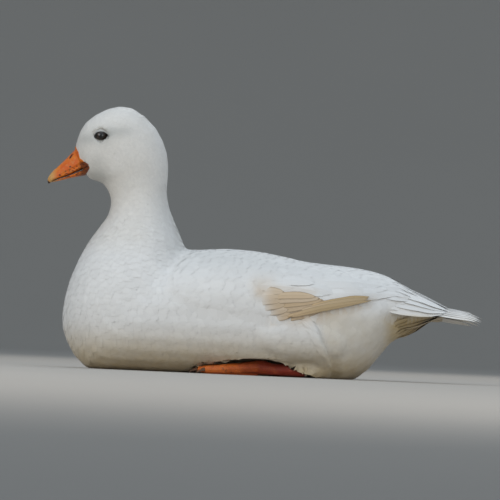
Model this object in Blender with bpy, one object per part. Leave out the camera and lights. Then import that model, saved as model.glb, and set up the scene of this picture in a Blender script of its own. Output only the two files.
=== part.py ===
"""A small white domestic duck of the Call type, life size, sitting on its belly with its feet folded under it.

The duck faces -Y with its left side towards +X, and rests on the plane Z = 0.
The body is one loft through named stations. Each station is a closed section in the plane that holds its
dorsal point, its ventral point and the X direction, so the planes swing round from the upright sections of the
trunk to the level ones of the neck, and on over the crown to the base of the bill. The loft is then parted with
thin cuts, the folded wings and the thighs are let into its sides, and its belly is hollowed over the feet.
Run it with: blender --background --python part.py
"""

import math

import bmesh
import bpy
from mathutils import Vector
from mathutils.bvhtree import BVHTree

MM = 0.001
GAP = 0.3  # mm between two pieces that meet

# Driving dimensions, in millimetres.
BODY_ROUND = 26  # points round a section of the body
BODY_STEPS = 2  # sections made for each station
WIDEST = 0.47  # where a section is widest, as a share of its height from the ventral point

# Stations from the tail's cut to the base of the bill:
# (dorsal y, z), (ventral y, z), half width, squareness of the upper and of the lower half.
STATIONS = {
    "tail_base": ((122.0, 70.6), (120.0, 40.5), 29.0, 2.0, 2.0),
    "rump": ((105.0, 81.0), (103.0, 30.5), 35.5, 2.1, 2.0),
    "vent": ((86.0, 87.3), (86.0, 8.5), 45.0, 2.2, 2.1),
    "haunch": ((62.0, 90.3), (66.0, -3.6), 54.5, 2.3, 2.3),
    "loin": ((32.0, 92.6), (34.0, -3.6), 61.0, 2.35, 2.4),
    "mid_back": ((0.0, 98.4), (2.0, -2.8), 63.0, 2.35, 2.4),
    "shoulder": ((-30.0, 100.2), (-32.0, -2.4), 62.0, 2.3, 2.4),
    "back_corner": ((-50.0, 98.6), (-70.0, -2.2), 60.0, 2.2, 2.3),
    "keel": ((-58.5, 98.4), (-110.0, -2.0), 57.5, 2.1, 2.2),
    "breast_low": ((-61.9, 98.3), (-139.5, 0.8), 55.0, 2.0, 2.1),
    "breast_round": ((-64.1, 100.0), (-155.8, 21.5), 52.0, 2.0, 2.1),
    "breast_front": ((-66.0, 103.2), (-160.0, 42.0), 48.5, 2.0, 2.1),
    "crop": ((-69.6, 111.6), (-155.0, 70.6), 41.0, 2.0, 2.1),
    "neck_base": ((-74.0, 120.6), (-141.8, 100.8), 31.0, 2.0, 2.1),
    "neck_low": ((-78.0, 130.4), (-127.6, 121.4), 23.8, 2.0, 2.0),
    "neck_mid": ((-80.7, 142.7), (-125.2, 136.2), 20.6, 2.0, 2.0),
    "throat": ((-80.4, 157.0), (-131.5, 147.6), 21.2, 2.0, 2.1),
    "nape": ((-82.0, 174.0), (-139.5, 150.4), 23.2, 2.0, 2.3),
    "cheek": ((-91.6, 193.8), (-142.6, 151.6), 24.0, 2.1, 2.5),
    "crown": ((-111.5, 209.3), (-143.6, 152.0), 23.6, 2.1, 2.6),
    "brow": ((-130.4, 207.9), (-144.3, 152.2), 21.8, 2.1, 2.6),
    "forehead": ((-147.8, 196.2), (-144.7, 152.4), 17.4, 2.1, 2.5),
    "lores": ((-154.0, 182.4), (-145.0, 152.6), 13.2, 2.1, 2.4),
    "bill_base": ((-155.2, 174.4), (-145.2, 152.8), 10.9, 2.1, 2.3),
}

# Where the body is parted: a point (y, z) on the cut, and the direction (y, z) towards the front piece.
TAIL_CUT = ((113.0, 60.0), (-1.0, 0.0))
NECK_CUT = ((-110.0, 100.0), (-0.36, 0.93))
HEAD_CUT = ((-106.5, 153.5), (-0.2, 0.98))

# The tail, from its cut to its tips: y, half width, then the heights of its ridge, its edge and its underside.
TAIL_ROWS = (
    (113.2, 32.0, 76.4, 57.2, 35.6),
    (122.0, 30.6, 69.6, 56.2, 41.4),
    (131.0, 30.6, 64.4, 55.4, 45.0),
    (140.0, 32.4, 61.9, 54.8, 47.4),
    (149.0, 35.2, 60.4, 54.3, 50.0),
    (158.0, 38.2, 58.8, 53.7, 53.4),
    (167.0, 40.6, 56.8, 52.8, 53.8),
    (176.8, 42.0, 54.0, 51.6, 52.4),
)
TAIL_FEATHERS = 12
TAIL_COLUMNS = 3  # for each feather
TAIL_STEPS = 6
TAIL_ROUNDING = 5.5  # mm that a feather's corners lie behind its tip
TAIL_SIDE_DRAW = 17.0  # mm that the outermost feather ends short of the middle ones
TAIL_EDGE = 1.4

# The folded wing: place along the stations, angle of its upper edge, height of its lower edge.
WING_ROWS = (
    (8.3, 0.62, 75.0),
    (7.8, 0.36, 64.0),
    (7.0, 0.24, 55.5),
    (6.0, 0.20, 50.5),
    (5.0, 0.20, 48.5),
    (4.2, 0.21, 49.2),
    (3.5, 0.34, 54.2),
    (3.0, 0.48, 58.2),
    (2.5, 0.74, 61.6),
    (2.15, 0.98, 63.8),
    (1.95, 1.08, 65.2),
)
WING_COLUMNS = 7
WING_STEPS = 13
WING_EDGE = 0.9  # mm that its edge stands proud of the body
WING_BULGE = 2.4
WING_DEPTH = 3.2  # mm that it is let into the body

# The thigh under the flank: place along the stations, heights of its upper and lower edge.
THIGH_ROWS = (
    (5.05, 33.0, 25.0),
    (4.85, 40.0, 19.0),
    (4.4, 44.5, 16.0),
    (3.9, 45.5, 15.2),
    (3.45, 42.5, 15.6),
    (3.1, 36.0, 18.5),
    (2.95, 31.0, 23.5),
)
THIGH_COLUMNS = 6
THIGH_STEPS = 8
THIGH_EDGE = 0.6
THIGH_BULGE = 2.2
THIGH_DEPTH = 3.6

# How a lens that is let into the body swells: the powers of its rise along and across, the rows past each end
# where it would come down to nothing, and the share of its depth left there.
LENS_RISE = (0.5, 0.7)
LENS_PAST = 0.6
LENS_END_DEPTH = 0.55
POCKET_GROWTH = (0.04, 0.02, 12.0)  # for each mm of spare: stations along, radians round, mm outwards

# The bill's stations from its base to its tip: (y, z) of the ridge, (y, z) of the cutting edge, half width.
UPPER_BILL = (
    ((-155.5, 174.2), (-148.6, 158.9), 10.6),
    ((-160.5, 168.5), (-154.2, 156.2), 10.0),
    ((-165.6, 163.1), (-160.6, 153.1), 9.5),
    ((-170.1, 158.4), (-166.9, 150.8), 9.3),
    ((-173.8, 154.0), (-171.8, 148.8), 8.0),
    ((-175.7, 150.9), (-174.6, 147.0), 5.2),
    ((-176.2, 148.8), (-175.6, 146.3), 1.8),
)
LOWER_BILL = (
    ((-148.3, 158.3), (-146.4, 153.9), 9.6),
    ((-153.9, 155.7), (-152.9, 152.7), 9.2),
    ((-160.2, 152.6), (-159.8, 150.9), 8.7),
    ((-166.4, 150.3), (-166.4, 149.1), 8.2),
    ((-170.8, 148.6), (-170.8, 147.9), 6.4),
    ((-172.8, 147.9), (-172.8, 147.4), 3.0),
)
BILL_ROUND = 14
BILL_SQUARENESS = (2.0, 2.8)  # above and below its widest level
UPPER_BILL_STEPS, UPPER_BILL_WIDEST = 11, 0.86
LOWER_BILL_STEPS, LOWER_BILL_WIDEST = 6, 0.3

EYE_PLACE = (-134.6, 185.3)
EYE_RADIUS = 5.6
EYE_STANDS_OUT = 1.6
EYE_SEGMENTS = (12, 8)

# The leg lies on the floor under the belly's edge: x, y, z and radius along the left one.
SHANK = ((38.2, 38.5, 6.0, 3.6), (38.0, 35.0, 6.6, 5.9), (37.6, 29.0, 6.4, 5.8), (36.4, 19.0, 5.6, 4.7),
         (35.0, 9.0, 5.6, 4.7), (34.0, 0.0, 6.6, 5.6), (33.8, -5.0, 6.8, 5.0))
ANKLE = (34.0, 0.0)
ANKLE_CUT = 12.0
TOES = {  # direction from straight ahead in degrees, length
    "inner": (-8.0, 39.0),
    "middle": (7.0, 50.0),
    "outer": (21.0, 47.0),
}
TOE_THICKNESS = ((0.0, 5.2), (0.14, 4.8), (0.3, 3.9), (0.4, 4.3), (0.58, 3.4), (0.68, 3.8), (0.88, 2.9), (1.0, 2.2))
TOE_HEIGHTS = (6.9, 3.2)  # of its middle, at the ankle and at the tip
WEB_THICKNESS = (5.6, 1.9)
WEB_REACH = (0.88, 0.14)  # share of the toes' length, and how far it is drawn back between two of them
WEB_STEPS = (4, 8)  # from the ankle outwards, and across
HIND_TOE = ((32.5, 0.5, 5.0, 3.0), (28.5, 5.0, 3.4, 2.4), (25.6, 9.2, 2.2, 1.6))
CLAW_LENGTH = 6.5
CLAW_RADIUS = 1.55
CLAW_TIP = (0.7, 0.28)  # height of its middle at the tip, and the share of its radius there
LIMB_ROUND, TOE_ROUND, CLAW_ROUND = 10, 8, 6

# The hollow over the foot: y, x of its middle, half width, height.
FOOT_HOLLOW = (
    (-68.0, 44.0, 12.0, 3.0),
    (-63.0, 43.0, 24.0, 7.6),
    (-50.0, 43.0, 28.0, 10.0),
    (-28.0, 43.0, 29.0, 12.6),
    (0.0, 42.0, 28.0, 13.4),
    (24.0, 43.0, 25.0, 13.4),
    (42.0, 44.0, 23.0, 13.0),
    (49.0, 46.0, 16.0, 8.0),
    (52.0, 47.0, 9.0, 3.0),
)
HOLLOW_SQUARENESS = 3.0
HOLLOW_ROUND = 16


def clear_scene():
    for old in list(bpy.data.objects):
        bpy.data.objects.remove(old, do_unlink=True)


def material(name, colour, roughness):
    made = bpy.data.materials.new(name)
    made.use_nodes = True
    shader = made.node_tree.nodes["Principled BSDF"]
    shader.inputs["Base Color"].default_value = (*colour, 1.0)
    shader.inputs["Roughness"].default_value = roughness
    shader.inputs["Metallic"].default_value = 0.0
    return made


# Shapes from rows of points.


def solid(name, points, faces):
    """A mesh object from points in millimetres, with its faces pointing out."""
    mesh = bpy.data.meshes.new(name)
    mesh.from_pydata([Vector(p) * MM for p in points], [], faces)
    editing = bmesh.new()
    editing.from_mesh(mesh)
    bmesh.ops.triangulate(editing, faces=editing.faces)
    bmesh.ops.recalc_face_normals(editing, faces=editing.faces)
    editing.to_mesh(mesh)
    editing.free()
    return bpy.data.objects.new(name, mesh)


def tube(name, rings):
    """A solid through closed rings of equal length, with a flat cap at each end."""
    count = len(rings[0])
    points = [p for ring in rings for p in ring]
    faces = [tuple(range(count)), tuple(range(len(points) - count, len(points)))]
    for i in range(len(rings) - 1):
        for j in range(count):
            k = (j + 1) % count
            faces.append((i * count + j, i * count + k, (i + 1) * count + k, (i + 1) * count + j))
    return solid(name, points, faces)


def sheet(name, outer, inner):
    """A solid between two grids of points with the same rows and columns."""
    rows, columns = len(outer), len(outer[0])
    under = rows * columns
    faces = []
    for i in range(rows - 1):
        for j in range(columns - 1):
            a, b = i * columns + j, (i + 1) * columns + j
            faces.append((a, b, b + 1, a + 1))
            faces.append((under + a, under + a + 1, under + b + 1, under + b))
    rim = list(range(columns))
    rim += [i * columns + columns - 1 for i in range(1, rows)]
    rim += [(rows - 1) * columns + j for j in range(columns - 2, -1, -1)]
    rim += [i * columns for i in range(rows - 2, 0, -1)]
    for a, b in zip(rim, rim[1:] + rim[:1]):
        faces.append((a, b, under + b, under + a))
    points = [p for grid in (outer, inner) for row in grid for p in row]
    return solid(name, points, faces)


def blended(values, at):
    """Catmull-Rom through the values, at a place counted in values from the first."""
    last = len(values) - 1
    i = max(0, min(int(at), last - 1))
    t = at - i
    before, start, end, after = (values[max(0, min(last, i + k))] for k in (-1, 0, 1, 2))
    bend = (2 * before - 5 * start + 4 * end - after) * t * t + (3 * start - before - 3 * end + after) * t * t * t
    return 0.5 * (2 * start + (end - before) * t + bend)


def row_at(rows, at):
    return [blended(column, at) for column in zip(*rows)]


def between(start, end, steps):
    return [start + (end - start) * i / steps for i in range(steps + 1)]


def oval(middle, half_up, half_side, squareness, angle):
    """A point of a section: 0 is straight up, and a quarter turn is the +X side."""
    rise, side = math.cos(angle), math.sin(angle)
    rise = math.copysign(abs(rise) ** (2 / squareness), rise)
    side = math.copysign(abs(side) ** (2 / squareness), side)
    return middle + half_up * rise + half_side * side


def turn(count):
    return [2 * math.pi * j / count for j in range(count)]


# The body.


def body_point(at, angle):
    """A point of the body's surface. The angle runs from 0 at the dorsal line to pi at the ventral one."""
    rows = [(*dorsal, *ventral, *rest) for dorsal, ventral, *rest in STATIONS.values()]
    dy, dz, vy, vz, width, upper, lower = row_at(rows, at)
    dorsal, ventral = Vector((0, dy, dz)), Vector((0, vy, vz))
    widest = ventral.lerp(dorsal, WIDEST)
    facing_up = math.cos(angle) > 0
    up = dorsal - widest if facing_up else widest - ventral
    return oval(widest, up, Vector((width, 0, 0)), upper if facing_up else lower, angle)


def body_normal(at, angle):
    step = 0.02
    along = body_point(at - step, angle) - body_point(at + step, angle)
    across = body_point(at, angle + step) - body_point(at, angle - step)
    return across.cross(along).normalized()


def angle_at_height(at, height):
    """The angle at which the left side of a section comes down to a height."""
    high, low = 0.02, math.pi - 0.02
    for _ in range(24):
        middle = (high + low) / 2
        if body_point(at, middle).z > height:
            high = middle
        else:
            low = middle
    return high


def body_loft():
    last = len(STATIONS) - 1
    return tube("body", [[body_point(at, a) for a in turn(BODY_ROUND)] for at in between(0, last, last * BODY_STEPS)])


def let_in(name, rows, steps, columns, edge, bulge, depth, spare):
    """A lens over the body's left side, and with some spare the pocket that it fits. Each row is a place
    along the stations and the angles of its two edges."""
    longer, wider, higher = POCKET_GROWTH
    outer, inner = [], []
    for i, at in enumerate(between(0, len(rows) - 1, steps)):
        place, first, last = row_at(rows, at)
        place += spare * longer * (1 - 2 * i / steps)
        along = math.sin(math.pi * (i + LENS_PAST) / (steps + 2 * LENS_PAST)) ** LENS_RISE[0]
        outer.append([])
        inner.append([])
        for j, angle in enumerate(between(first - spare * wider, last + spare * wider, columns - 1)):
            across = math.sin(math.pi * j / (columns - 1)) ** LENS_RISE[1]
            point, out = body_point(place, angle), body_normal(place, angle)
            outer[-1].append(point + out * (edge + bulge * along * across + spare * higher))
            inner[-1].append(point - out * (depth + spare) * (LENS_END_DEPTH + (1 - LENS_END_DEPTH) * along))
    return sheet(name, outer, inner)


def wing(spare=0.0):
    rows = [(place, upper, angle_at_height(place, height)) for place, upper, height in WING_ROWS]
    return let_in("wing_left", rows, WING_STEPS, WING_COLUMNS, WING_EDGE, WING_BULGE, WING_DEPTH, spare)


def thigh(spare=0.0):
    rows = [(place, angle_at_height(place, top), angle_at_height(place, low)) for place, top, low in THIGH_ROWS]
    return let_in("thigh_left", rows, THIGH_STEPS, THIGH_COLUMNS, THIGH_EDGE, THIGH_BULGE, THIGH_DEPTH, spare)


def tail():
    """The rump's coverts run out into a fan of feathers, each with a rounded tip, roofed a little along its ridge."""
    columns = TAIL_FEATHERS * TAIL_COLUMNS
    upper, lower = [], []
    for at in between(0, len(TAIL_ROWS) - 1, TAIL_STEPS):
        y, width, ridge, edge, under = row_at(TAIL_ROWS, at)
        run_out = at / (len(TAIL_ROWS) - 1)
        upper.append([])
        lower.append([])
        for j in range(columns + 1):
            across = 2 * j / columns - 1
            within = 2 * (j % TAIL_COLUMNS) / TAIL_COLUMNS - 1
            drawn = TAIL_SIDE_DRAW * abs(across) ** 2.2 + TAIL_ROUNDING * within ** 2
            back = y - drawn * run_out ** 3
            arch = math.sqrt(max(0.0, 1 - across * across))
            roof = arch + (1 - abs(across) ** 1.6 - arch) * run_out
            upper[-1].append((width * across, back, edge + TAIL_EDGE / 2 + (ridge - edge) * roof))
            lower[-1].append((width * across, back, edge - TAIL_EDGE / 2 + (under - edge) * roof))
    return sheet("tail", upper, lower)


# The bill, the eyes, and the legs.


def bill(name, stations, steps, top_share):
    """A loft whose section is arched above its widest level and flat below it."""
    above, below = BILL_SQUARENESS
    rings = []
    for at in between(0, len(stations) - 1, steps):
        ry, rz, ey, ez, width = row_at([(*ridge, *edge, half) for ridge, edge, half in stations], at)
        ridge, edge = Vector((0, ry, rz)), Vector((0, ey, ez))
        widest = ridge.lerp(edge, top_share)
        ring = []
        for angle in turn(BILL_ROUND):
            facing_up = math.cos(angle) > 0
            up = ridge - widest if facing_up else widest - edge
            ring.append(oval(widest, up, Vector((width, 0, 0)), above if facing_up else below, angle))
        rings.append(ring)
    return tube(name, rings)


def eye_on(head):
    """The left eyeball, set so that it stands out of the head's side by a known depth."""
    tree = BVHTree.FromPolygons([v.co for v in head.data.vertices], [p.vertices for p in head.data.polygons])
    side = Vector((0.1, EYE_PLACE[0] * MM, EYE_PLACE[1] * MM))
    skin = tree.ray_cast(side, Vector((-1, 0, 0)))[0].x / MM
    mesh = bpy.data.meshes.new("eye_left")
    editing = bmesh.new()
    around, up = EYE_SEGMENTS
    bmesh.ops.create_uvsphere(editing, u_segments=around, v_segments=up, radius=EYE_RADIUS * MM)
    centre = Vector((skin + EYE_STANDS_OUT - EYE_RADIUS, *EYE_PLACE)) * MM
    bmesh.ops.translate(editing, verts=editing.verts, vec=centre)
    editing.to_mesh(mesh)
    editing.free()
    return bpy.data.objects.new("eye_left", mesh)


def limb(name, path, count=LIMB_ROUND, steps=2):
    """A round tube through points (x, y, z, radius). Each section is square to the way the path runs there."""
    rings = []
    last = len(path) - 1
    for at in between(0, last, last * steps):
        *middle, radius = row_at(path, at)
        ahead = Vector(row_at(path, min(last, at + 0.1))[:3]) - Vector(row_at(path, max(0, at - 0.1))[:3])
        side = ahead.cross(Vector((0, 0, 1))).normalized() * radius
        up = side.cross(ahead).normalized() * radius
        rings.append([oval(Vector(middle), up, side, 2.0, angle) for angle in turn(count)])
    return tube(name, rings)


def toe_point(angle, length, share):
    """The middle of a toe, at a share of its length from the ankle."""
    high, low = TOE_HEIGHTS
    turned = math.radians(angle)
    reach = length * share
    height = low + (high - low) * max(0.0, 1 - share) ** 1.3
    return Vector((ANKLE[0] + math.sin(turned) * reach, ANKLE[1] - math.cos(turned) * reach, height))


def toe(name, angle, length):
    return limb(name, [(*toe_point(angle, length, share), radius) for share, radius in TOE_THICKNESS], TOE_ROUND, 1)


def web():
    """The skin between the toes: it lies on the floor, thickest at the ankle, its edge drawn back between toes."""
    thick, thin = WEB_THICKNESS
    reach, drawn = WEB_REACH
    spans = list(TOES.values())
    upper, lower = [], []
    for out in between(0.05, 1.0, WEB_STEPS[0]):
        upper.append([])
        lower.append([])
        for at in between(0, len(spans) - 1, WEB_STEPS[1]):
            angle, length = row_at(spans, at)
            back = drawn * math.sin(math.pi * at) ** 2
            point = toe_point(angle, length, out * (reach - back))
            upper[-1].append((point.x, point.y, thin + (thick - thin) * (1 - out)))
            lower[-1].append((point.x, point.y, -1.0))
    return sheet("web", upper, lower)


def claw(name, angle, length):
    """A short horn beyond a toe's tip, curving down to the floor."""
    end, end_radius = CLAW_TIP
    path = []
    for share in (0.0, 0.35, 0.7, 1.0):
        point = toe_point(angle, length, 1.0 + (GAP + CLAW_LENGTH * share) / length)
        height = TOE_HEIGHTS[1] - (TOE_HEIGHTS[1] - end) * share ** 1.6
        path.append((point.x, point.y, height, CLAW_RADIUS * (1 - (1 - end_radius) * share)))
    return limb(name, path, CLAW_ROUND, 1)


def foot_hollow():
    rings = []
    for y, x, half, height in FOOT_HOLLOW:
        side, up = Vector((half, 0, 0)), Vector((0, 0, height))
        rings.append([oval(Vector((x, y, 0)), up, side, HOLLOW_SQUARENESS, angle) for angle in turn(HOLLOW_ROUND)])
    return tube("foot_hollow", rings)


# Parting and joining.


def cut_away(obj, point, normal):
    """Removes what lies on the normal's side of a plane through a point (y, z), and closes the cut."""
    editing = bmesh.new()
    editing.from_mesh(obj.data)
    place, away = Vector((0, *point)) * MM, Vector((0, *normal)).normalized()
    whole = editing.verts[:] + editing.edges[:] + editing.faces[:]
    cut = bmesh.ops.bisect_plane(editing, geom=whole, dist=1e-7, plane_co=place, plane_no=away, clear_outer=True)
    rim = [e for e in cut["geom_cut"] if isinstance(e, bmesh.types.BMEdge)]
    bmesh.ops.contextual_create(editing, geom=rim)
    bmesh.ops.triangulate(editing, faces=[f for f in editing.faces if len(f.verts) > 4])
    bmesh.ops.recalc_face_normals(editing, faces=editing.faces)
    editing.to_mesh(obj.data)
    editing.free()


def part(name, obj, cut, front):
    """The front or the rear piece of an object at a cut, short of it by half the gap."""
    point, ahead = cut
    away = Vector(ahead).normalized() * (-1 if front else 1)
    piece = bpy.data.objects.new(name, obj.data.copy())
    cut_away(piece, Vector(point) - away * GAP / 2, away)
    return piece


def combine(obj, others, operation):
    """Joins the other shapes to an object, or cuts them from it, and removes them."""
    scene = bpy.context.scene.collection
    for other in others:
        scene.objects.link(obj)
        scene.objects.link(other)
        step = obj.modifiers.new(operation.lower(), "BOOLEAN")
        step.operation = operation
        step.object = other
        step.solver = "EXACT"
        graph = bpy.context.evaluated_depsgraph_get()
        made = bpy.data.meshes.new_from_object(obj.evaluated_get(graph))
        obj.modifiers.clear()
        obj.data = made
        scene.objects.unlink(obj)
        bpy.data.objects.remove(other, do_unlink=True)
    return obj


def mirrored(obj, name):
    """The same piece on the duck's right side."""
    made = bpy.data.objects.new(name, obj.data.copy())
    for vertex in made.data.vertices:
        vertex.co.x = -vertex.co.x
    made.data.flip_normals()
    return made


def body_pieces():
    whole = body_loft()
    head = part("head", whole, HEAD_CUT, True)
    above = part("above", whole, NECK_CUT, True)
    neck = part("neck", above, HEAD_CUT, False)
    behind = part("behind", whole, NECK_CUT, False)
    trunk = part("trunk", behind, TAIL_CUT, True)
    cut_away(trunk, (0, 0), (0, -1))
    pockets = [make(GAP) for make in (wing, thigh)]
    pockets += [foot_hollow()]
    pockets += [mirrored(pocket, pocket.name + "_right") for pocket in pockets]
    combine(trunk, pockets, "DIFFERENCE")
    for spare in (whole, above, behind):
        bpy.data.objects.remove(spare, do_unlink=True)
    return head, neck, trunk


def left_leg():
    leg = limb("leg", SHANK)
    ankle_cut = ((ANKLE_CUT, 0.0), (-1.0, 0.0))
    shank = part("shank_left", leg, ankle_cut, False)
    foot = part("foot_left", leg, ankle_cut, True)
    bpy.data.objects.remove(leg, do_unlink=True)
    pieces = [toe(name, angle, length) for name, (angle, length) in TOES.items()]
    combine(foot, [*pieces, limb("hind_toe", HIND_TOE, CLAW_ROUND), web()], "UNION")
    for piece in (shank, foot):
        cut_away(piece, (0, 0), (0, -1))
    return shank, foot


def main():
    clear_scene()
    model = bpy.data.collections.new("white_call_duck")
    bpy.context.scene.collection.children.link(model)
    plumage = material("plumage_white", (0.80, 0.79, 0.75), 0.72)
    bill_horn = material("bill_orange", (0.52, 0.16, 0.035), 0.42)
    leg_skin = material("leg_orange", (0.42, 0.11, 0.03), 0.5)
    claw_horn = material("claw_horn", (0.30, 0.22, 0.15), 0.45)
    eye_gloss = material("eye_dark", (0.012, 0.009, 0.008), 0.06)

    head, neck, trunk = body_pieces()
    eye = eye_on(head)
    socket = bpy.data.objects.new("socket", eye.data.copy())
    centre = sum((v.co for v in socket.data.vertices), Vector()) / len(socket.data.vertices)
    for vertex in socket.data.vertices:
        vertex.co = centre + (vertex.co - centre) * (EYE_RADIUS + GAP) / EYE_RADIUS
    combine(head, [socket, mirrored(socket, "socket_right")], "DIFFERENCE")

    shank, foot = left_leg()
    claws = [claw(f"claw_left_{name}", angle, length) for name, (angle, length) in TOES.items()]
    sided = {plumage: [wing(), thigh()], leg_skin: [shank, foot], claw_horn: claws, eye_gloss: [eye]}
    single = {
        plumage: [head, neck, trunk, tail()],
        bill_horn: [
            bill("bill_upper", UPPER_BILL, UPPER_BILL_STEPS, UPPER_BILL_WIDEST),
            bill("bill_lower", LOWER_BILL, LOWER_BILL_STEPS, LOWER_BILL_WIDEST),
        ],
    }
    for finish, pieces in sided.items():
        both = pieces + [mirrored(piece, piece.name.replace("left", "right")) for piece in pieces]
        single[finish] = single.get(finish, []) + both
    for finish, pieces in single.items():
        for piece in pieces:
            piece.data.name = piece.name
            piece.data.materials.clear()
            piece.data.materials.append(finish)
            piece.data.shade_smooth()
            model.objects.link(piece)


main()
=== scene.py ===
import math

import bpy
import numpy as np
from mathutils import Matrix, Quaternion, Vector, kdtree
from mathutils.bvhtree import BVHTree


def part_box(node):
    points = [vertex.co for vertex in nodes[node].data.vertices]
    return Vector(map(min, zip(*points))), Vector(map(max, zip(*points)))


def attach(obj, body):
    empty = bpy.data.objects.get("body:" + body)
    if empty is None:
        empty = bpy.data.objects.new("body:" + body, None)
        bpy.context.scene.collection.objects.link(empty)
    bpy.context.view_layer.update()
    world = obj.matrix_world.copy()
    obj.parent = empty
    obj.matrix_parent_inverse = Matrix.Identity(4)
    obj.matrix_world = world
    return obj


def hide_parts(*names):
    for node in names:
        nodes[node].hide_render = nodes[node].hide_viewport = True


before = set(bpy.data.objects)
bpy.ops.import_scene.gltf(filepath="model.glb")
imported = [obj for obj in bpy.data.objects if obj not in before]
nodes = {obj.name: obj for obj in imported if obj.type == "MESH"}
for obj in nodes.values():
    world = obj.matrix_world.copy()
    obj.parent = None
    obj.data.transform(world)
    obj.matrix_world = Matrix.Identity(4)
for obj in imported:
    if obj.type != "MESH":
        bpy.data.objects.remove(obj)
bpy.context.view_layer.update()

mm = 0.001


class Wire:
    # one output socket of a shader, so that maths on it reads as maths
    def __init__(self, shader, socket):
        self.shader = shader
        self.socket = socket

    def math(self, operation, *others):
        return self.shader.add("ShaderNodeMath", {"operation": operation}, [self, *others])

    def __add__(self, other):
        return self.math("ADD", other)

    def __sub__(self, other):
        return self.math("SUBTRACT", other)

    def __rsub__(self, other):
        return self.shader.add("ShaderNodeMath", {"operation": "SUBTRACT"}, [other, self])

    def __mul__(self, other):
        return self.math("MULTIPLY", other)

    def __pow__(self, other):
        return self.math("POWER", other)

    __radd__ = __add__
    __rmul__ = __mul__

    def abs(self):
        return self.math("ABSOLUTE")

    def sin(self):
        return self.math("SINE")

    def sqrt(self):
        return self.math("SQRT")

    def high(self, other):
        return self.math("MAXIMUM", other)

    def step(self, start, end):  # 0 before start, 1 after end, smooth between
        ends = {3: 0.0, 4: 1.0} if start < end else {3: 1.0, 4: 0.0}
        inputs = {0: self, 1: min(start, end), 2: max(start, end), **ends}
        return self.shader.add("ShaderNodeMapRange", {"interpolation_type": "SMOOTHSTEP"}, inputs)


class Shader:
    def __init__(self, name):
        self.material = bpy.data.materials.new(name)
        self.material.use_nodes = True
        self.tree = self.material.node_tree
        self.surface = self.tree.nodes["Principled BSDF"]

    def add(self, kind, settings=None, inputs=None, output=0):
        node = self.tree.nodes.new(kind)
        for key, value in (settings or {}).items():
            setattr(node, key, value)
        pairs = inputs.items() if isinstance(inputs, dict) else enumerate(inputs or [])
        for key, value in pairs:
            self.give(node.inputs[key], value)
        return Wire(self, node.outputs[output])

    def give(self, socket, value):
        if isinstance(value, Wire):
            self.tree.links.new(value.socket, socket)
        elif isinstance(value, tuple) and socket.type == "RGBA":
            socket.default_value = (*value, 1.0)
        else:
            socket.default_value = value

    def set(self, **inputs):
        for key, value in inputs.items():
            self.give(self.surface.inputs[key.replace("_", " ")], value)
        return self.material

    def parts(self, place):  # a vector's three numbers
        first = self.add("ShaderNodeSeparateXYZ", None, [place])
        return [Wire(self, socket) for socket in first.socket.node.outputs]

    def coords(self):
        place = self.add("ShaderNodeTexCoord", output="Object")
        return place, *self.parts(place)

    def uv(self, name):
        return self.parts(self.add("ShaderNodeUVMap", {"uv_map": name}))[:2]

    def joined(self, x, y, z):
        return self.add("ShaderNodeCombineXYZ", None, [x, y, z])

    def value(self, name):  # a number stored on the mesh
        return self.add("ShaderNodeAttribute", {"attribute_name": name}, output="Fac")

    def noise(self, place, scale, detail=3.0, rough=0.5):
        inputs = {"Vector": place, "Scale": scale, "Detail": detail, "Roughness": rough}
        return self.add("ShaderNodeTexNoise", None, inputs)

    def stretched(self, place, x, y, z):
        settings = {"operation": "MULTIPLY"}
        return self.add("ShaderNodeVectorMath", settings, {0: place, 1: (x, y, z)})

    def mix(self, share, first, second, how="MIX"):
        settings = {"data_type": "RGBA", "blend_type": how}
        return self.add("ShaderNodeMix", settings, {0: share, 6: first, 7: second}, output=2)

    def bump(self, height, distance, strength=1.0):
        inputs = {"Height": height, "Distance": distance, "Strength": strength}
        return self.add("ShaderNodeBump", None, inputs)


def added(name, data):
    made = bpy.data.objects.new(name, data)
    bpy.context.scene.collection.objects.link(made)
    return made


def meshObject(name, points, faces):
    mesh = bpy.data.meshes.new(name)
    mesh.from_pydata([tuple(p) for p in points], [], faces)
    mesh.update()
    mesh.shade_smooth()
    return added(name, mesh)


def ringFaces(rings, count, capped):
    # faces over rings of points round a middle one, and round a last one when capped
    faces = []
    for j in range(count):
        k = (j + 1) % count
        faces.append((0, 1 + j, 1 + k))
        for a in range(1, 1 + (rings - 1) * count, count):
            faces.append((a + j, a + count + j, a + count + k, a + k))
        if capped:
            a = 1 + (rings - 1) * count
            faces.append((a + k, a + j, a + count))
    return faces


def dress(piece, material, slot, *replaced):
    piece.data.materials.clear()
    piece.data.materials.append(material)
    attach(piece, "root")
    if replaced:
        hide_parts(*replaced)
    return piece


def arrays(mesh):
    points = np.empty(len(mesh.vertices) * 3)
    mesh.vertices.foreach_get("co", points)
    mesh.calc_loop_triangles()
    faces = np.empty(len(mesh.loop_triangles) * 3, np.int64)
    mesh.loop_triangles.foreach_get("vertices", faces)
    return points.reshape(-1, 3), faces.reshape(-1, 3)


def store(mesh, values):
    # numbers kept on a mesh's points, which its material reads
    for key, numbers in values.items():
        mesh.attributes.new(key, "FLOAT", "POINT").data.foreach_set("value", numbers.astype(np.float32))


def unit(vectors):
    return vectors / np.maximum(np.linalg.norm(vectors, axis=-1, keepdims=True), 1e-12)


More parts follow.
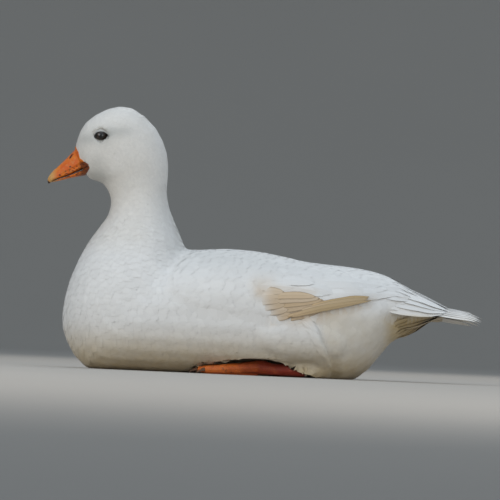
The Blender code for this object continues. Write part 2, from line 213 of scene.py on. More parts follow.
def fused(name, solids, grow, voxel):
    # one closed mesh over several solids, each grown a little so that they run together
    points, faces, start = [], [], 0
    for cornerPoints, cornerFaces in solids:
        keys, index = np.unique(np.round(cornerPoints, 7), axis=0, return_inverse=True)
        corners = index.reshape(-1)[cornerFaces]
        points.append(keys + vertexNormals(keys, corners) * grow)
        faces.append(corners + start)
        start += len(keys)
    piece = meshObject(name, np.concatenate(points), np.concatenate(faces).tolist())
    remesh = piece.modifiers.new("remesh", "REMESH")
    remesh.mode = "VOXEL"
    remesh.voxel_size = voxel
    graph = bpy.context.evaluated_depsgraph_get()
    made = bpy.data.meshes.new_from_object(piece.evaluated_get(graph))
    piece.modifiers.clear()
    piece.data = made
    made.shade_smooth()
    return piece


def moved(piece, points):
    piece.data.vertices.foreach_set("co", points.ravel())
    piece.data.update()


def loft(rings):
    # a closed solid through rings of points, as points and triangles
    steps, count, _ = rings.shape
    points = np.concatenate([rings.reshape(-1, 3), rings[:1].mean(axis=1), rings[-1:].mean(axis=1)])
    faces = []
    for j in range(count):
        k = (j + 1) % count
        for i in range(steps - 1):
            a, b = i * count, (i + 1) * count
            faces += [(a + j, b + j, b + k), (a + j, b + k, a + k)]
        last = (steps - 1) * count
        faces += [(len(points) - 2, j, k), (len(points) - 1, last + k, last + j)]
    faces = np.array(faces)
    a, b, c = (points[faces[:, i]] for i in range(3))
    return points, faces if np.sum(a * np.cross(b, c)) > 0 else faces[:, ::-1]


def vertexNormals(points, faces):
    a, b, c = (points[faces[:, i]] for i in range(3))
    face = np.cross(b - a, c - a)
    normals = np.zeros_like(points)
    for i in range(3):
        np.add.at(normals, faces[:, i], face)
    return unit(normals)


camera = {
    "azimuth": 90.0,  # looking at the duck's left side
    "elevation": -1.0,
    "roll": 2.5,
    "lens": 400.0,
    "width": 0.400,  # metres across the frame at the duck
    "aim": (0.0, -0.01225, 0.1000),
}
studio = {
    "floor": (0.47, 0.43, 0.38),
    "world": (0.72, 0.85, 1.0),
    "worldStrength": 0.44,
    "flat": 6.5,  # radius of the level floor, which then turns up all round
    "rise": 4.0,
    "sides": 96,
    "steps": (6, 12),  # rings on the level floor, and on the rise
}
lights = {  # place, size, power, colour
    "top": ((0.5, -0.1, 2.3), 2.2, 15.5, (0.72, 0.85, 1.0)),
    "front": ((1.5, -1.7, 1.1), 1.5, 18.0, (1.0, 0.985, 0.96)),
    "side": ((2.3, 1.1, 0.9), 1.6, 16.0, (0.98, 0.98, 0.98)),
    "behind": ((-1.6, 0.5, 1.6), 1.4, 10.0, (1.0, 0.98, 0.95)),
}


def aimed(made, way):
    made.rotation_mode = "QUATERNION"
    made.rotation_quaternion = way.to_track_quat("-Z", "Y")


def makeCamera():
    data = bpy.data.cameras.new("camera")
    data.lens = camera["lens"]
    data.sensor_width = 36.0
    data.clip_start, data.clip_end = 0.05, 40.0
    made = added("camera", data)
    away = camera["width"] * camera["lens"] / data.sensor_width
    azimuth, elevation = math.radians(camera["azimuth"]), math.radians(camera["elevation"])
    level = math.cos(elevation)
    back = Vector((math.sin(azimuth) * level, -math.cos(azimuth) * level, math.sin(elevation)))
    made.location = Vector(camera["aim"]) + back * away
    aimed(made, -back)
    made.rotation_quaternion @= Quaternion((0, 0, 1), math.radians(camera["roll"]))
    bpy.context.scene.camera = made


def makeStudio():
    flat, rise = studio["flat"], studio["rise"]
    steps, bends = studio["steps"]
    turns = [math.pi / 2 * i / bends for i in range(1, bends + 1)]
    profile = [(flat * i / steps, 0.0) for i in range(1, steps + 1)]
    profile += [(flat + rise * math.sin(turn), rise * (1 - math.cos(turn))) for turn in turns]
    count = studio["sides"]
    angles = [2 * math.pi * j / count for j in range(count)]
    points = [(0.0, 0.0, 0.0)]
    points += [(r * math.cos(angle), r * math.sin(angle), z) for r, z in profile for angle in angles]
    floor = meshObject("studio_floor", points, ringFaces(len(profile), count, False))
    paper = Shader("studio_paper")
    place, *_ = paper.coords()
    shade = paper.noise(place, 3.0) * 0.03 + 0.985
    colour = paper.mix(1.0, studio["floor"], shade, "MULTIPLY")
    floor.data.materials.append(paper.set(Base_Color=colour, Roughness=0.9, Specular_IOR_Level=0.1))
    world = bpy.data.worlds.new("studio")
    world.use_nodes = True
    ground = world.node_tree.nodes["Background"]
    ground.inputs[0].default_value = (*studio["world"], 1.0)
    ground.inputs[1].default_value = studio["worldStrength"]
    bpy.context.scene.world = world
    for name, (place, size, power, colour) in lights.items():
        data = bpy.data.lights.new(name, "AREA")
        data.shape = "DISK"
        data.size, data.energy, data.color = size, power, colour
        lamp = added(name, data)
        lamp.location = place
        aimed(lamp, Vector((0, 0, 0.08)) - lamp.location)
    bpy.context.scene.view_settings.view_transform = "Standard"


flesh = ("head", "neck", "trunk", "tail", "wing_left", "wing_right", "thigh_left", "thigh_right")
spine = (  # the middle of the body from bill to tail: a node, and shares of its length and height
    ("bill_upper", 1.0, 0.55), ("head", 0.5, 0.55), ("neck", 0.5, 0.5), ("trunk", 0.25, 0.52),
    ("trunk", 0.42, 0.46), ("trunk", 0.7, 0.42), ("tail", 0.1, 0.48), ("tail", 1.0, 0.45),
)
skinShape = {
    "grow": 0.12 * mm,  # each solid swells this much, so that its neighbours run into it
    "voxel": 1.5 * mm,
    "smooth": 30,
    "spineSteps": 140,
    # distance along the spine, then the coat's depth there
    "reach": [20 * mm, 50 * mm, 90 * mm, 140 * mm],
    "depth": [0.8 * mm, 0.9 * mm, 1.3 * mm, 2.0 * mm],
    "byEye": ([5 * mm, 12 * mm], [0.45, 1.0]),  # distance from the eye, then the share of that depth
}


def centreOf(node):
    low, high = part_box(node)
    return np.array((low + high) / 2)


def eyeDistance(points):
    return np.linalg.norm(np.abs(points) * (1, 0, 0) + points * (0, 1, 1) - centreOf("eye_left"), axis=1)


def boxPoint(node, along, up):
    low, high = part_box(node)
    return (0.0, low.y + (high.y - low.y) * along, low.z + (high.z - low.z) * up)


def along(node, line):
    # places given as shares of a node's length and height, seen from the side
    return [boxPoint(node, *place)[1:] for place in line]


def curved(a, b, c, d, share):
    # a smooth way from b to c, given the knots before and after them
    bend = 2 * a - 5 * b + 4 * c - d
    return 0.5 * (2 * b + (c - a) * share + bend * share ** 2 + (3 * b - a - 3 * c + d) * share ** 3)


def spineLine():
    knots = np.array([boxPoint(*place) for place in spine])
    knots = np.vstack([2 * knots[0] - knots[1], knots, 2 * knots[-1] - knots[-2]])
    steps = skinShape["spineSteps"] // (len(knots) - 3)
    share = np.arange(steps)[:, None] / steps
    rows = []
    for a, b, c, d in zip(knots, knots[1:], knots[2:], knots[3:]):
        rows.append(curved(a, b, c, d, share))
    line = np.vstack(rows + [knots[-2:-1]])
    reach = np.concatenate([[0.0], np.cumsum(np.linalg.norm(np.diff(line, axis=0), axis=1))])
    return line, unit(np.gradient(line, axis=0)), reach


spinePoints, spineAlong, spineReach = spineLine()


def bodyField(points):
    # how far along the spine each point is, the way its feathers point, and its angle round the spine
    rows = []
    for some in np.split(points, range(20000, len(points), 20000)):
        flat = some[:, None, 1:] - spinePoints[None, :, 1:]
        nearness = 1.0 / (np.sum(flat ** 2, axis=2) + (3 * mm) ** 2) ** 2.5
        nearness /= nearness.sum(axis=1, keepdims=True)
        way = nearness @ spineAlong
        off = some - nearness @ spinePoints
        upward = off[:, 2] * way[:, 1] - off[:, 1] * way[:, 2]
        rows.append((nearness @ spineReach, unit(way), np.arctan2(off[:, 0], upward)))
    return [np.concatenate(part) for part in zip(*rows)]


def edgesOf(faces):
    return np.concatenate([faces[:, [0, 1]], faces[:, [1, 2]], faces[:, [2, 0]]])


def neighbours(faces, count):
    ends = np.unique(np.sort(edgesOf(faces), axis=1), axis=0)
    both = np.concatenate([ends, ends[:, ::-1]])
    return both[:, 0], both[:, 1], np.bincount(both[:, 0], minlength=count)


def evened(points, faces, rounds, share=1.0):
    # smooths without shrinking: a step in, then a slightly longer step out
    here, there, count = neighbours(faces, len(points))
    for i in range(rounds * 2):
        around = np.stack([np.bincount(here, points[there, k], len(points)) for k in range(3)], 1)
        step = 0.5 if i % 2 == 0 else -0.52
        points = points + (around / count[:, None] - points) * step * np.reshape(share, (-1, 1))
    return points


class Surface:
    # a closed mesh that other things are laid on
    def __init__(self, points, faces, depth):
        self.points, self.faces, self.depth = points, faces, depth
        self.normals = vertexNormals(points, faces)
        self.tree = BVHTree.FromPolygons(points.tolist(), faces.tolist())

    def nearest(self, places):
        shape = places.shape
        found = [self.tree.find_nearest(place) for place in places.reshape(-1, 3).tolist()]
        spots = np.array([hit[0][:] for hit in found])
        corners = self.faces[[hit[2] for hit in found]]
        normals, depth = self.blend(spots, corners)
        return spots.reshape(shape), normals.reshape(shape), depth.reshape(shape[:-1])

    def blend(self, spots, corners):
        a, b, c = (self.points[corners[:, i]] for i in range(3))
        parts = [np.linalg.norm(np.cross(p - spots, q - spots), axis=1) for p, q in ((b, c), (c, a), (a, b))]
        parts = np.stack(parts, 1) + 1e-15
        parts /= parts.sum(axis=1, keepdims=True)
        normals = unit(np.einsum("ij,ijk->ik", parts, self.normals[corners]))
        return normals, np.einsum("ij,ij->i", parts, self.depth[corners])

    def across(self, start, way, reach):
        # where a line from outside meets the surface, or None
        return self.tree.ray_cast(start, way, reach)[0]


folds = {
    "thighRoom": 14 * mm,  # the thigh runs smoothly into the flank for this far round it
    "thighRounds": 150,
    # where the flank's feathers end behind: shares of the thigh's length and height, top to bottom
    "flankEnd": ((0.55, 1.12), (0.62, 0.94), (0.69, 0.62), (0.77, 0.2), (0.83, -0.1), (0.84, -0.4)),
    "flankRise": 0.7 * mm,
    "flankDrop": 1.0 * mm,
}
tongue = {  # the skin inside the tail
    "narrow": 0.62, "narrowOver": 34 * mm,
    "short": 0.42, "shortPast": 10 * mm,
    "thin": 0.62, "thinOver": (6 * mm, 46 * mm), "ridge": 0.46,
}
tuck = {  # the vent draws in under the tail's side feathers
    "draw": 0.38, "along": (-24 * mm, 8 * mm), "edge": 0.50, "below": (1 * mm, -8 * mm), "full": 20 * mm,
}
curtain = {  # the flank hangs over the folded leg like a curtain, and closes the hollow at both ends
    "ends": (-0.072, 0.056),
    "top": 16.5 * mm,
    "low": 0.3 * mm,
    "inside": (20 * mm, 45.5 * mm),  # how far out its inner face is, at the ends and over the leg
    "thick": 3.6 * mm,
    "out": 2.0 * mm,  # how far past the shank its outer face is
    "overShank": (-34 * mm, -22 * mm),
    "rings": 48, "rows": 10,
    # its lower edge, as shares of the leg's length and height
    "hem": (
        (-0.055, 0.05), (-0.030, 0.36), (0.0, 0.50), (0.067, 0.56), (0.156, 0.65), (0.27, 0.74),
        (0.448, 0.90), (0.616, 0.90), (0.706, 0.80), (0.814, 0.60), (0.874, 0.40), (0.947, 0.22),
        (1.010, 0.04),
    ),
}


def hemLine():
    # the lower edge of the flank's feathers over the folded leg, seen from the side
    foot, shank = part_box("foot_left"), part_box("shank_left")
    long, high = shank[1].y - foot[0].y, max(foot[1].z, shank[1].z)
    return np.array([(foot[0].y + run * long, rise * high) for run, rise in curtain["hem"]])


def lineSide(points, line):
    # signed distance to a line seen from the side, positive above one that runs back, and the share along it
    flat = points[:, 1:]
    best = np.full(len(points), 1.0)
    signed = np.full(len(points), 1.0)
    share = np.zeros(len(points))
    for i, (a, b) in enumerate(zip(line, line[1:])):
        a, b = np.array(a), np.array(b)
        run = np.clip((flat - a) @ (b - a) / ((b - a) @ (b - a)), 0, 1)
        off = flat - a - run[:, None] * (b - a)
        far = np.linalg.norm(off, axis=1)
        side = np.sign(off[:, 1] * (b - a)[0] - off[:, 0] * (b - a)[1])
        near = far < best
        best[near], signed[near] = far[near], (far * side)[near]
        share[near] = (i + run[near]) / (len(line) - 1)
    return signed, share


def curtainSolid(trunk, side):
    # the trunk's own sections before and behind the hollow, carried on over the leg
    top, low = curtain["top"], curtain["low"]
    start, end = curtain["ends"]
    hem = hemLine()
    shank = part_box("shank_left")[1]
    shares = np.linspace(0, 1, curtain["rows"])

    def widths(y, heights):
        hits = [trunk.ray_cast(Vector((side * 0.2, y, z)), Vector((-side, 0, 0)))[0] for z in heights]
        return np.array([abs(hit.x) for hit in hits])

    full = np.linspace(low, top, 12)
    front, rear = (widths(y, full) for y in (start, end))
    front, rear = front / front[-1], rear / rear[-1]
    rings = []
    for y in np.concatenate([[start], np.linspace(hem[0, 0], hem[-1, 0], curtain["rings"]), [end]]):
        lower = np.interp(y, *hem.T, left=low, right=low)
        heights = lower + (top - lower) * shares
        behind = (y - start) / (end - start)
        shape = np.interp(heights, full, front * (1 - behind) + rear * behind)
        overShank = ramp(y, *(shank.y + room for room in curtain["overShank"])) * ramp(y, end, shank.y)
        wide = np.maximum(widths(y, [top])[0] * shape, (shank.x + curtain["out"]) * overShank)
        inner = curtain["inside"][1 if hem[0, 0] < y < hem[-1, 0] else 0]
        inside = np.minimum(inner, wide - curtain["thick"])
        rings.append([(side * x, y, z) for x, z in zip(wide, heights)]
                     + [(side * x, y, z) for x, z in zip(inside[::-1], heights[::-1])])
    return loft(np.array(rings))


def narrowTail(points):
    # the tail's fan is feathers alone, so the skin narrows to a tongue under them
    low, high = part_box("tail")
    past = np.maximum(points[:, 1] - low.y, 0)
    points[:, 0] *= 1 - tongue["narrow"] * ramp(past, 0, tongue["narrowOver"])
    points[:, 1] -= tongue["short"] * np.maximum(past - tongue["shortPast"], 0)
    ridge = low.z + tongue["ridge"] * (high.z - low.z)
    points[:, 2] += (ridge - points[:, 2]) * tongue["thin"] * ramp(past, *tongue["thinOver"])
    edge = low.z + tuck["edge"] * (high.z - low.z)
    inward = ramp(points[:, 1] - low.y, *tuck["along"]) * ramp(points[:, 2] - edge, *tuck["below"])
    points[:, 0] *= 1 - tuck["draw"] * inward * ramp(points[:, 2], 0.0, tuck["full"])


def foldFlank(points, faces):
    # the thigh runs into the flank, and the flank's feathers end in a crease behind it
    low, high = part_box("thigh_left")
    room = folds["thighRoom"]
    inside = ramp(points[:, 1], low.y - room, low.y) * ramp(points[:, 1], high.y, high.y - room)
    inside *= ramp(points[:, 2], low.z - room, low.z) * ramp(points[:, 2], high.z + room, high.z)
    points = evened(points, faces, folds["thighRounds"], inside * ramp(np.abs(points[:, 0]), 0.03, 0.04))
    signed, share = lineSide(points, along("thigh_left", folds["flankEnd"]))
    ends = ramp(share, 0.0, 0.25) * (np.abs(points[:, 0]) > 0.03)
    front = ramp(signed, -14 * mm, 0.0) * (signed < 0) * folds["flankRise"]
    behind = ramp(signed, 9 * mm, 0.5 * mm) * (signed >= 0) * folds["flankDrop"]
    points = points + vertexNormals(points, faces) * ((front - behind) * ends)[:, None]
    return evened(points, faces, 3)


def coatDepth(points, faces, normals):
    # how deep the coat is at each point: less by the eyes, and where the skin itself is thin
    reach, _, _ = bodyField(points)
    depth = np.interp(reach, skinShape["reach"], skinShape["depth"])
    depth = depth * np.interp(eyeDistance(points), *skinShape["byEye"])
    tree = BVHTree.FromPolygons(points.tolist(), faces.tolist())
    for i in np.nonzero(reach > spineReach[-1] * 0.8)[0]:
        inside = Vector(points[i] - normals[i] * 0.2 * mm)
        hit = tree.ray_cast(inside, Vector(-normals[i]))
        if hit[3]:
            depth[i] = min(depth[i], hit[3] * 0.3)
    here, there, count = neighbours(faces, len(points))
    for _ in range(6):
        depth = 0.5 * depth + 0.5 * np.bincount(here, depth[there], len(points)) / count
    return depth


def makeSkin():
    solids = [arrays(nodes[part].data) for part in flesh]
    trunk = BVHTree.FromPolygons(*(array.tolist() for array in arrays(nodes["trunk"].data)))
    solids += [curtainSolid(trunk, side) for side in (1, -1)]
    piece = fused("skin", solids, skinShape["grow"], skinShape["voxel"])
    points, faces = arrays(piece.data)
    narrowTail(points)
    points = foldFlank(evened(points, faces, skinShape["smooth"]), faces)
    normals = vertexNormals(points, faces)
    depth = coatDepth(points, faces, normals)
    outer = Surface(points, faces, depth)
    points = points - normals * depth[:, None]
    moved(piece, points)
    return piece, Surface(points, faces, depth), outer


def scattered(surface, spacing, seed):
    # points over the surface, no two nearer than the spacing there
    random = np.random.default_rng(seed)
    a, b, c = (surface.points[surface.faces[:, i]] for i in range(3))
    area = np.linalg.norm(np.cross(b - a, c - a), axis=1) / 2
    gap = spacing(surface.points)
    weight = area / gap[surface.faces].mean(axis=1) ** 2
    count = int(weight.sum() * 9)
    chosen = random.choice(len(area), count, p=weight / weight.sum())
    first, second = random.random((2, count, 1))
    flip = first + second > 1
    first, second = np.where(flip, 1 - first, first), np.where(flip, 1 - second, second)
    spots = a[chosen] + (b[chosen] - a[chosen]) * first + (c[chosen] - a[chosen]) * second
    gap = np.einsum("ij->i", gap[surface.faces[chosen]]) / 3
    tree = kdtree.KDTree(count)
    for i, spot in enumerate(spots.tolist()):
        tree.insert(spot, i)
    tree.balance()
    free = np.ones(count, bool)
    kept = []
    for i, (spot, apart) in enumerate(zip(spots.tolist(), gap.tolist())):
        if free[i]:
            kept.append(i)
            free[[hit[1] for hit in tree.find_range(spot, apart)]] = False
    return spots[kept]


def vaneFaces(rows, columns):
    faces = []
    for r in range(rows - 1):
        for c in range(columns - 1):
            a = r * columns + c
            faces.append((a, a + columns, a + columns + 1, a + 1))
        left, right = r * columns, r * columns + columns - 1
        faces.append((left, right, right + columns, left + columns))
    last = (rows - 1) * columns
    faces.append(tuple(range(last + columns - 1, last - 1, -1)))
    faces.append(tuple(range(columns)))
    return faces


def vaneOutline(share):
    # a feather's width along its length: narrow at the quill, widest past the middle, round at the tip
    swell = 0.5 + 0.5 * np.sin(np.minimum(share / 0.55, 1.0) * math.pi / 2)
    return swell * np.sqrt(1 - 0.93 * np.clip((share - 0.55) / 0.45, 0, 1) ** 2)


def turned(ways, normals, angle):
    return ways * np.cos(angle)[:, None] + np.cross(normals, ways) * np.sin(angle)[:, None]


def lieByLeg(spots, way):
    # near the hem over the leg the feathers lie along it
    hem = hemLine()
    y, z = spots[:, 1], spots[:, 2]
    near = np.exp(-((z - np.interp(y, *hem.T)) / (6 * mm)) ** 2)
    near *= ramp(y, hem[0, 0] - 12 * mm, hem[0, 0]) * ramp(y, hem[-1, 0], hem[-1, 0] - 6 * mm)
    near *= ramp(np.abs(spots[:, 0]), 30 * mm, 40 * mm)
    slope = np.interp(y, (hem[1:, 0] + hem[:-1, 0]) / 2, np.diff(hem[:, 1]) / np.diff(hem[:, 0]))
    along = unit(np.stack([np.zeros(len(y)), np.ones(len(y)), np.clip(slope, -0.7, 0.35)], 1))
    return unit(way * (1 - near[:, None]) + along * near[:, None])


def growLines(surface, roots, length, twist, shares):
    # each feather's middle line over the surface, with the way up, the way along and the coat's depth there
    spots, ups, depth = surface.nearest(roots)
    rows = []
    for r, share in enumerate(shares):
        if r:
            step = length * (share - shares[r - 1])
            spots, ups, depth = surface.nearest(spots + tangent * step[:, None])
        way = lieByLeg(spots, bodyField(spots)[1])
        tangent = unit(way - ups * np.sum(way * ups, axis=1, keepdims=True))
        tangent = turned(tangent, ups, twist)
        rows.append((spots, ups, tangent, depth))
    return [np.stack(part, 1) for part in zip(*rows)]


def layVanes(surface, roots, look, seed, keep=None):
    # feathers grown over the surface from their roots, each a thin closed shell
    random = np.random.default_rng(seed)
    rows, columns = look["rows"], look["columns"]
    spots = surface.nearest(roots)[0]
    reach, _, angle = bodyField(spots)
    size = featherSize(spots, reach) * random.uniform(0.88, 1.12, len(roots))
    twist = random.normal(0, look["twist"], len(roots))
    shares = 1 - (1 - np.linspace(0, 1, rows)) ** 1.4
    line, ups, ways, depths = growLines(surface, roots, size * look["length"], twist, shares)
    if keep is not None:
        chosen = keep(line)
        line, ups, ways, depths, size, roots, reach, angle = (
            part[chosen] for part in (line, ups, ways, depths, size, roots, reach, angle))
    count = len(roots)
    cross = np.linspace(-1, 1, columns)
    half = size[:, None] * look["width"] / 2 * vaneOutline(shares)[None, :]
    grid = line[:, :, None] + np.cross(ups, ways)[:, :, None] * (half[:, :, None] * cross)[..., None]
    if look["hug"]:
        grid, ups, depths = surface.nearest(grid)
    else:
        ups = np.repeat(ups[:, :, None], columns, axis=2)
        depths = np.repeat(depths[:, :, None], columns, axis=2)
    # steep under the feathers before it, then a gentle slope, so that each tip lies on the next feather
    rise = ((1 - look["slope"]) * ramp(shares, -0.12, 0.30) + look["slope"] * shares) * 1.15 - 0.15
    height = random.uniform(1 - look["loft"], 1, count)[:, None, None] * rise[None, :, None] * depths
    height = height - look["camber"] * half[:, :, None] * cross ** 2
    lift = tuftStand(roots) * random.uniform(0.0, 1.0, count) ** 3
    height = height + (lift[:, None] * shares[None, :] ** 3)[..., None]
    grid = grid + ups * height[..., None]
    rag = (0.05 + random.uniform(0, look["rag"], (count, columns))) * (1 - cross ** 2)
    grid[:, -1] += ways[:, -1, None] * (rag * (size * look["length"])[:, None])[..., None]
    grid[..., 2] = np.maximum(grid[..., 2], look["clear"])
    return {
        "grid": grid, "shares": shares, "cross": cross, "reach": reach, "angle": angle,
        "tint": random.random(count),
    }


def coatPiece(name, vanes, chosen, material, extra=None):
    grid = vanes["grid"][chosen]
    count, rows, columns, _ = grid.shape
    template = vaneFaces(rows, columns)
    sizes = np.tile([len(face) for face in template], count)
    corners = np.concatenate(template)
    loops = (corners[None, :] + (np.arange(count) * rows * columns)[:, None]).ravel()
    points = grid.reshape(-1, 3)
    mesh = bpy.data.meshes.new(name)
    mesh.vertices.add(len(points))
    mesh.vertices.foreach_set("co", points.ravel())
    mesh.loops.add(len(loops))
    mesh.loops.foreach_set("vertex_index", loops.astype(np.int32))
    mesh.polygons.add(len(sizes))
    starts = np.concatenate([[0], np.cumsum(sizes)[:-1]])
    mesh.polygons.foreach_set("loop_start", starts.astype(np.int32))
    mesh.polygons.foreach_set("loop_total", sizes.astype(np.int32))
    mesh.update(calc_edges=True)
    mesh.shade_smooth()
    mesh.set_sharp_from_angle(angle=math.radians(60))
    own = np.stack(np.meshgrid(vanes["shares"] - 0.5, vanes["cross"] / 2, indexing="ij"), -1)
    if extra is None:
        # each feather's own patch lies at its root's place on the unwrapped body
        flat = np.stack([vanes["reach"][chosen], vanes["angle"][chosen]], 1)
        low, high = flat.min(axis=0), flat.max(axis=0)
        middle = 0.004 + 0.992 * (flat - low) / np.maximum(high - low, 1e-9)
        size = 0.003
    else:
        # a big feather has a square of its own
        across = math.ceil(math.sqrt(count))
        order = np.arange(count)
        middle = (np.stack([order % across, order // across], 1) + 0.5) / across
        size = 0.9 / across
    patch = middle[:, None, None] + size * own[None]
    bake = mesh.uv_layers.new(name="OFBake")
    bake.uv.foreach_set("vector", patch.reshape(-1, 2)[loops].ravel().astype(np.float32))
    vane = mesh.uv_layers.new(name="vane")
    along = np.broadcast_to(own, (count, *own.shape)).reshape(-1, 2) + 0.5
    vane.uv.foreach_set("vector", along[loops].ravel().astype(np.float32))
    mesh.uv_layers.active = bake
    values = {"tint": np.repeat(vanes["tint"][chosen], rows * columns), **bodyMarks(points)}
    for key, numbers in (extra or {}).items():
        values[key] = np.maximum(values.get(key, 0.0), numbers)
    store(mesh, values)
    print(name, count, "feathers,", int((sizes - 2).sum()), "triangles")
    return dress(added(name, mesh), material, "plumage_white")


def ramp(values, start, end):
    share = np.clip((values - start) / (end - start), 0, 1)
    return share * share * (3 - 2 * share)


marks = {
    # lines as shares of the wing's length and height, then how far the colour spreads and how strong it is
    # the first two lines are painted shade under the folded wing's lower edge, laid on in the cream colour;
    # the rest are cream marks
    "shade": (((0.50, -0.10), (0.60, -0.02), (0.72, 0.07), (0.84, 0.15), (0.97, 0.24)), 3.2 * mm, 0.5),
    "warmShade": (((0.62, -0.08), (0.74, 0.0), (0.88, 0.13)), 7 * mm, 0.3),
    "faint": (((0.44, 0.34), (0.50, 0.30)), 5 * mm, 0.5),
    "second": (((0.42, 0.50), (0.48, 0.51)), 5 * mm, 0.22),
    "edges": (((0.52, 0.42), (0.62, 0.40), (0.70, 0.37)), 3 * mm, 0.25),
}


def band(points, name):
    line, spread, strength = marks[name]
    signed, _ = lineSide(points, along("wing_left", line))
    return np.exp(-(signed / spread) ** 2) * strength


def underBill(points):
    # how far inside the bill's edge on the face each point is, negative outside it
    low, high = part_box("bill_upper")
    inside = -lineSide(points, along("bill_upper", gape["feathers"]))[0]
    room = 6 * mm
    near = (points[:, 1] < high.y + room) & (points[:, 2] > low.z) & (points[:, 2] < high.z + room)
    return np.where(near, inside, -1.0)


stainsAndPaintedShade = {
    "out": (0.030, 0.038),  # the wing's cream starts this far from the middle
    # over these shares of the trunk's length and height, then how strong
    # buff under the tail: partly stain, partly painted shade
    "vent": ((0.90, 0.99), (0.48, 0.43), 1.0),
    # buff low on the belly, stronger towards the bottom: partly dirt, partly painted shade and painted warm
    # reflected light
    "belly": (None, (0.36, 0.0), 0.8),
    # buff low on the flank behind the leg, stronger towards the bottom
    "hem": ((0.735, 0.78), (0.54, 0.36), 0.35),
    # buff on the front of the neck: painted warm reflected light
    "throat": ((0.32, 0.2), (0.75, 0.95), 0.14),
    # painted shade on the upper back, laid on in the grey colour
    "back": ((0.22, 0.36), (0.60, 0.85), 0.42),
    # grey round the eye, under it and on the chin: millimetres back from the eye and up, half length,
    # half height and strength
    # the grey spots are painted shade: round the eye's socket, in front of and under the eye, and under the
    # cheek on the chin
    "grey": ((0, -0.5, 9, 6.5, 0.8), (-12, -3, 7, 4.5, 0.55), (-1, -31, 9, 6, 0.6), (-2, -20, 6, 6, 0.35)),
    "opening": (5.6, 3.3),
}


def bodyMarks(points):
    # the same marks on skin and feathers: cream on the closed wing with painted shade under its edge, buff
    # under the tail and on the belly that is partly stain and partly painted shade, painted warm light on the
    # throat, grey painted shade by the eye and on the back
    x, y, z = points.T
    cream = np.clip(sum(band(points, name) for name in marks), 0, 1) * ramp(np.abs(x), *stainsAndPaintedShade["out"])
    low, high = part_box("trunk")
    tailward, height = (y - low.y) / (high.y - low.y), z / high.z

    def area(name):
        run, rise, strength = stainsAndPaintedShade[name]
        return (ramp(tailward, *run) if run else 1.0) * ramp(height, *rise) * strength

    vent = area("vent") * ramp(tailward, 1.14, 1.06)
    eye = centreOf("eye_left")
    run, rise = (y - eye[1]) / mm, (z - eye[2]) / mm
    # a grey band behind the eye, partly grey tint and partly painted shade, and a thin dark line back from
    # the eye's rear corner, a painted crease shade
    stripe = np.exp(-((rise - 3.5 - 0.05 * run) / 4.5) ** 2) * ramp(run, 0, 8) * ramp(run, 34, 14)
    corner = np.exp(-((rise - 0.1 * run) / 0.8) ** 2) * ramp(run, 4, 5) * ramp(run, 10, 6)
    grey = 0.6 * stripe + 0.7 * corner
    for back, up, long, tall, strength in stainsAndPaintedShade["grey"]:
        grey = grey + strength * np.exp(-((run - back) / long) ** 2 - ((rise - up) / tall) ** 2)
    # the upper back's grey is painted shade
    grey = np.clip(grey, 0, 1) * (run < 45) + area("back") * (height < 1.3)
    opening = np.hypot(run / stainsAndPaintedShade["opening"][0], rise / stainsAndPaintedShade["opening"][1])
    socketRim = ramp(opening, 1.08, 0.98) * (run < 45)
    # buff: partly stain and partly painted shade under the tail and on the belly, painted warm light on the
    # throat
    buff = np.max([vent, area("belly"), area("hem"), area("throat")], axis=0)
    rim = np.maximum(ramp(underBill(points), 0.2 * mm, 0.9 * mm), socketRim)
    return {"cream": cream, "buff": buff, "grey": grey, "rim": rim}


plumage = {
    "white": (0.80, 0.79, 0.765),
    "cream": (0.59, 0.42, 0.235),
    # buff carries stain together with painted shade and painted warm light
    "buff": (0.58, 0.455, 0.25),
    # grey carries painted shade, with a faint grey tint by the eye
    "grey": (0.50, 0.50, 0.47),
    "rim": (0.035, 0.028, 0.024),
    "line": (0.30, 0.22, 0.15),
    # under: painted shade on the primaries and on the feathers under the tail, partly stain under the tail
    "under": (0.45, 0.34, 0.18),
    "roughness": 0.62,
}


def plumageMaterial(name, big=False):
    made = Shader(name)
    place, *_ = made.coords()
    mottle = made.noise(place, 130.0, 3.0)
    cream, buff = made.value("cream"), made.value("buff")
    colour = made.mix(cream, plumage["white"], plumage["cream"])
    # buff and grey lay on painted shade and painted warm light as well as stains
    colour = made.mix(buff * (0.7 + 0.6 * mottle), colour, plumage["buff"])
    colour = made.mix(made.value("grey"), colour, plumage["grey"])
    colour = made.mix(made.value("rim"), colour, plumage["rim"])
    tone = 0.94 + 0.06 * made.value("tint") + 0.05 * (made.noise(place, 45.0) - 0.5)
    if big:
        # barbs run out and forward from the shaft; a stained feather's rim is darker
        share, across = made.uv("vane")
        out = (across - 0.5).abs()
        slant = made.joined(share * 9.0 + out * 14.0, across, share)
        barbs = made.noise(made.stretched(slant, 14.0, 0.6, 0.4), 1.0, 2.0)
        edge = out.step(0.36, 0.48).high(share.step(0.955, 0.99)) * cream.step(0.15, 0.6)
        colour = made.mix(edge * 0.7, colour, plumage["line"])
        colour = made.mix(out.step(0.035, 0.012) * (0.05 + 0.25 * cream), colour, plumage["line"])
        # painted shade from each big feather's under value
        colour = made.mix(made.value("under"), colour, plumage["under"])
        tone = tone - 0.07 * barbs.step(0.5, 0.8)
        made.set(Normal=made.bump(barbs, 0.12 * mm, 0.35))
    else:
        share, across = made.uv("vane")
        tone = tone + 0.02 * ((share * 120.0 - (across - 0.5).abs() * 150.0).sin())
    colour = made.mix(1.0, colour, tone, "MULTIPLY")
    made.set(Specular_IOR_Level=0.3, Sheen_Weight=0.15, Sheen_Roughness=0.4)
    return made.set(Base_Color=colour, Roughness=plumage["roughness"])


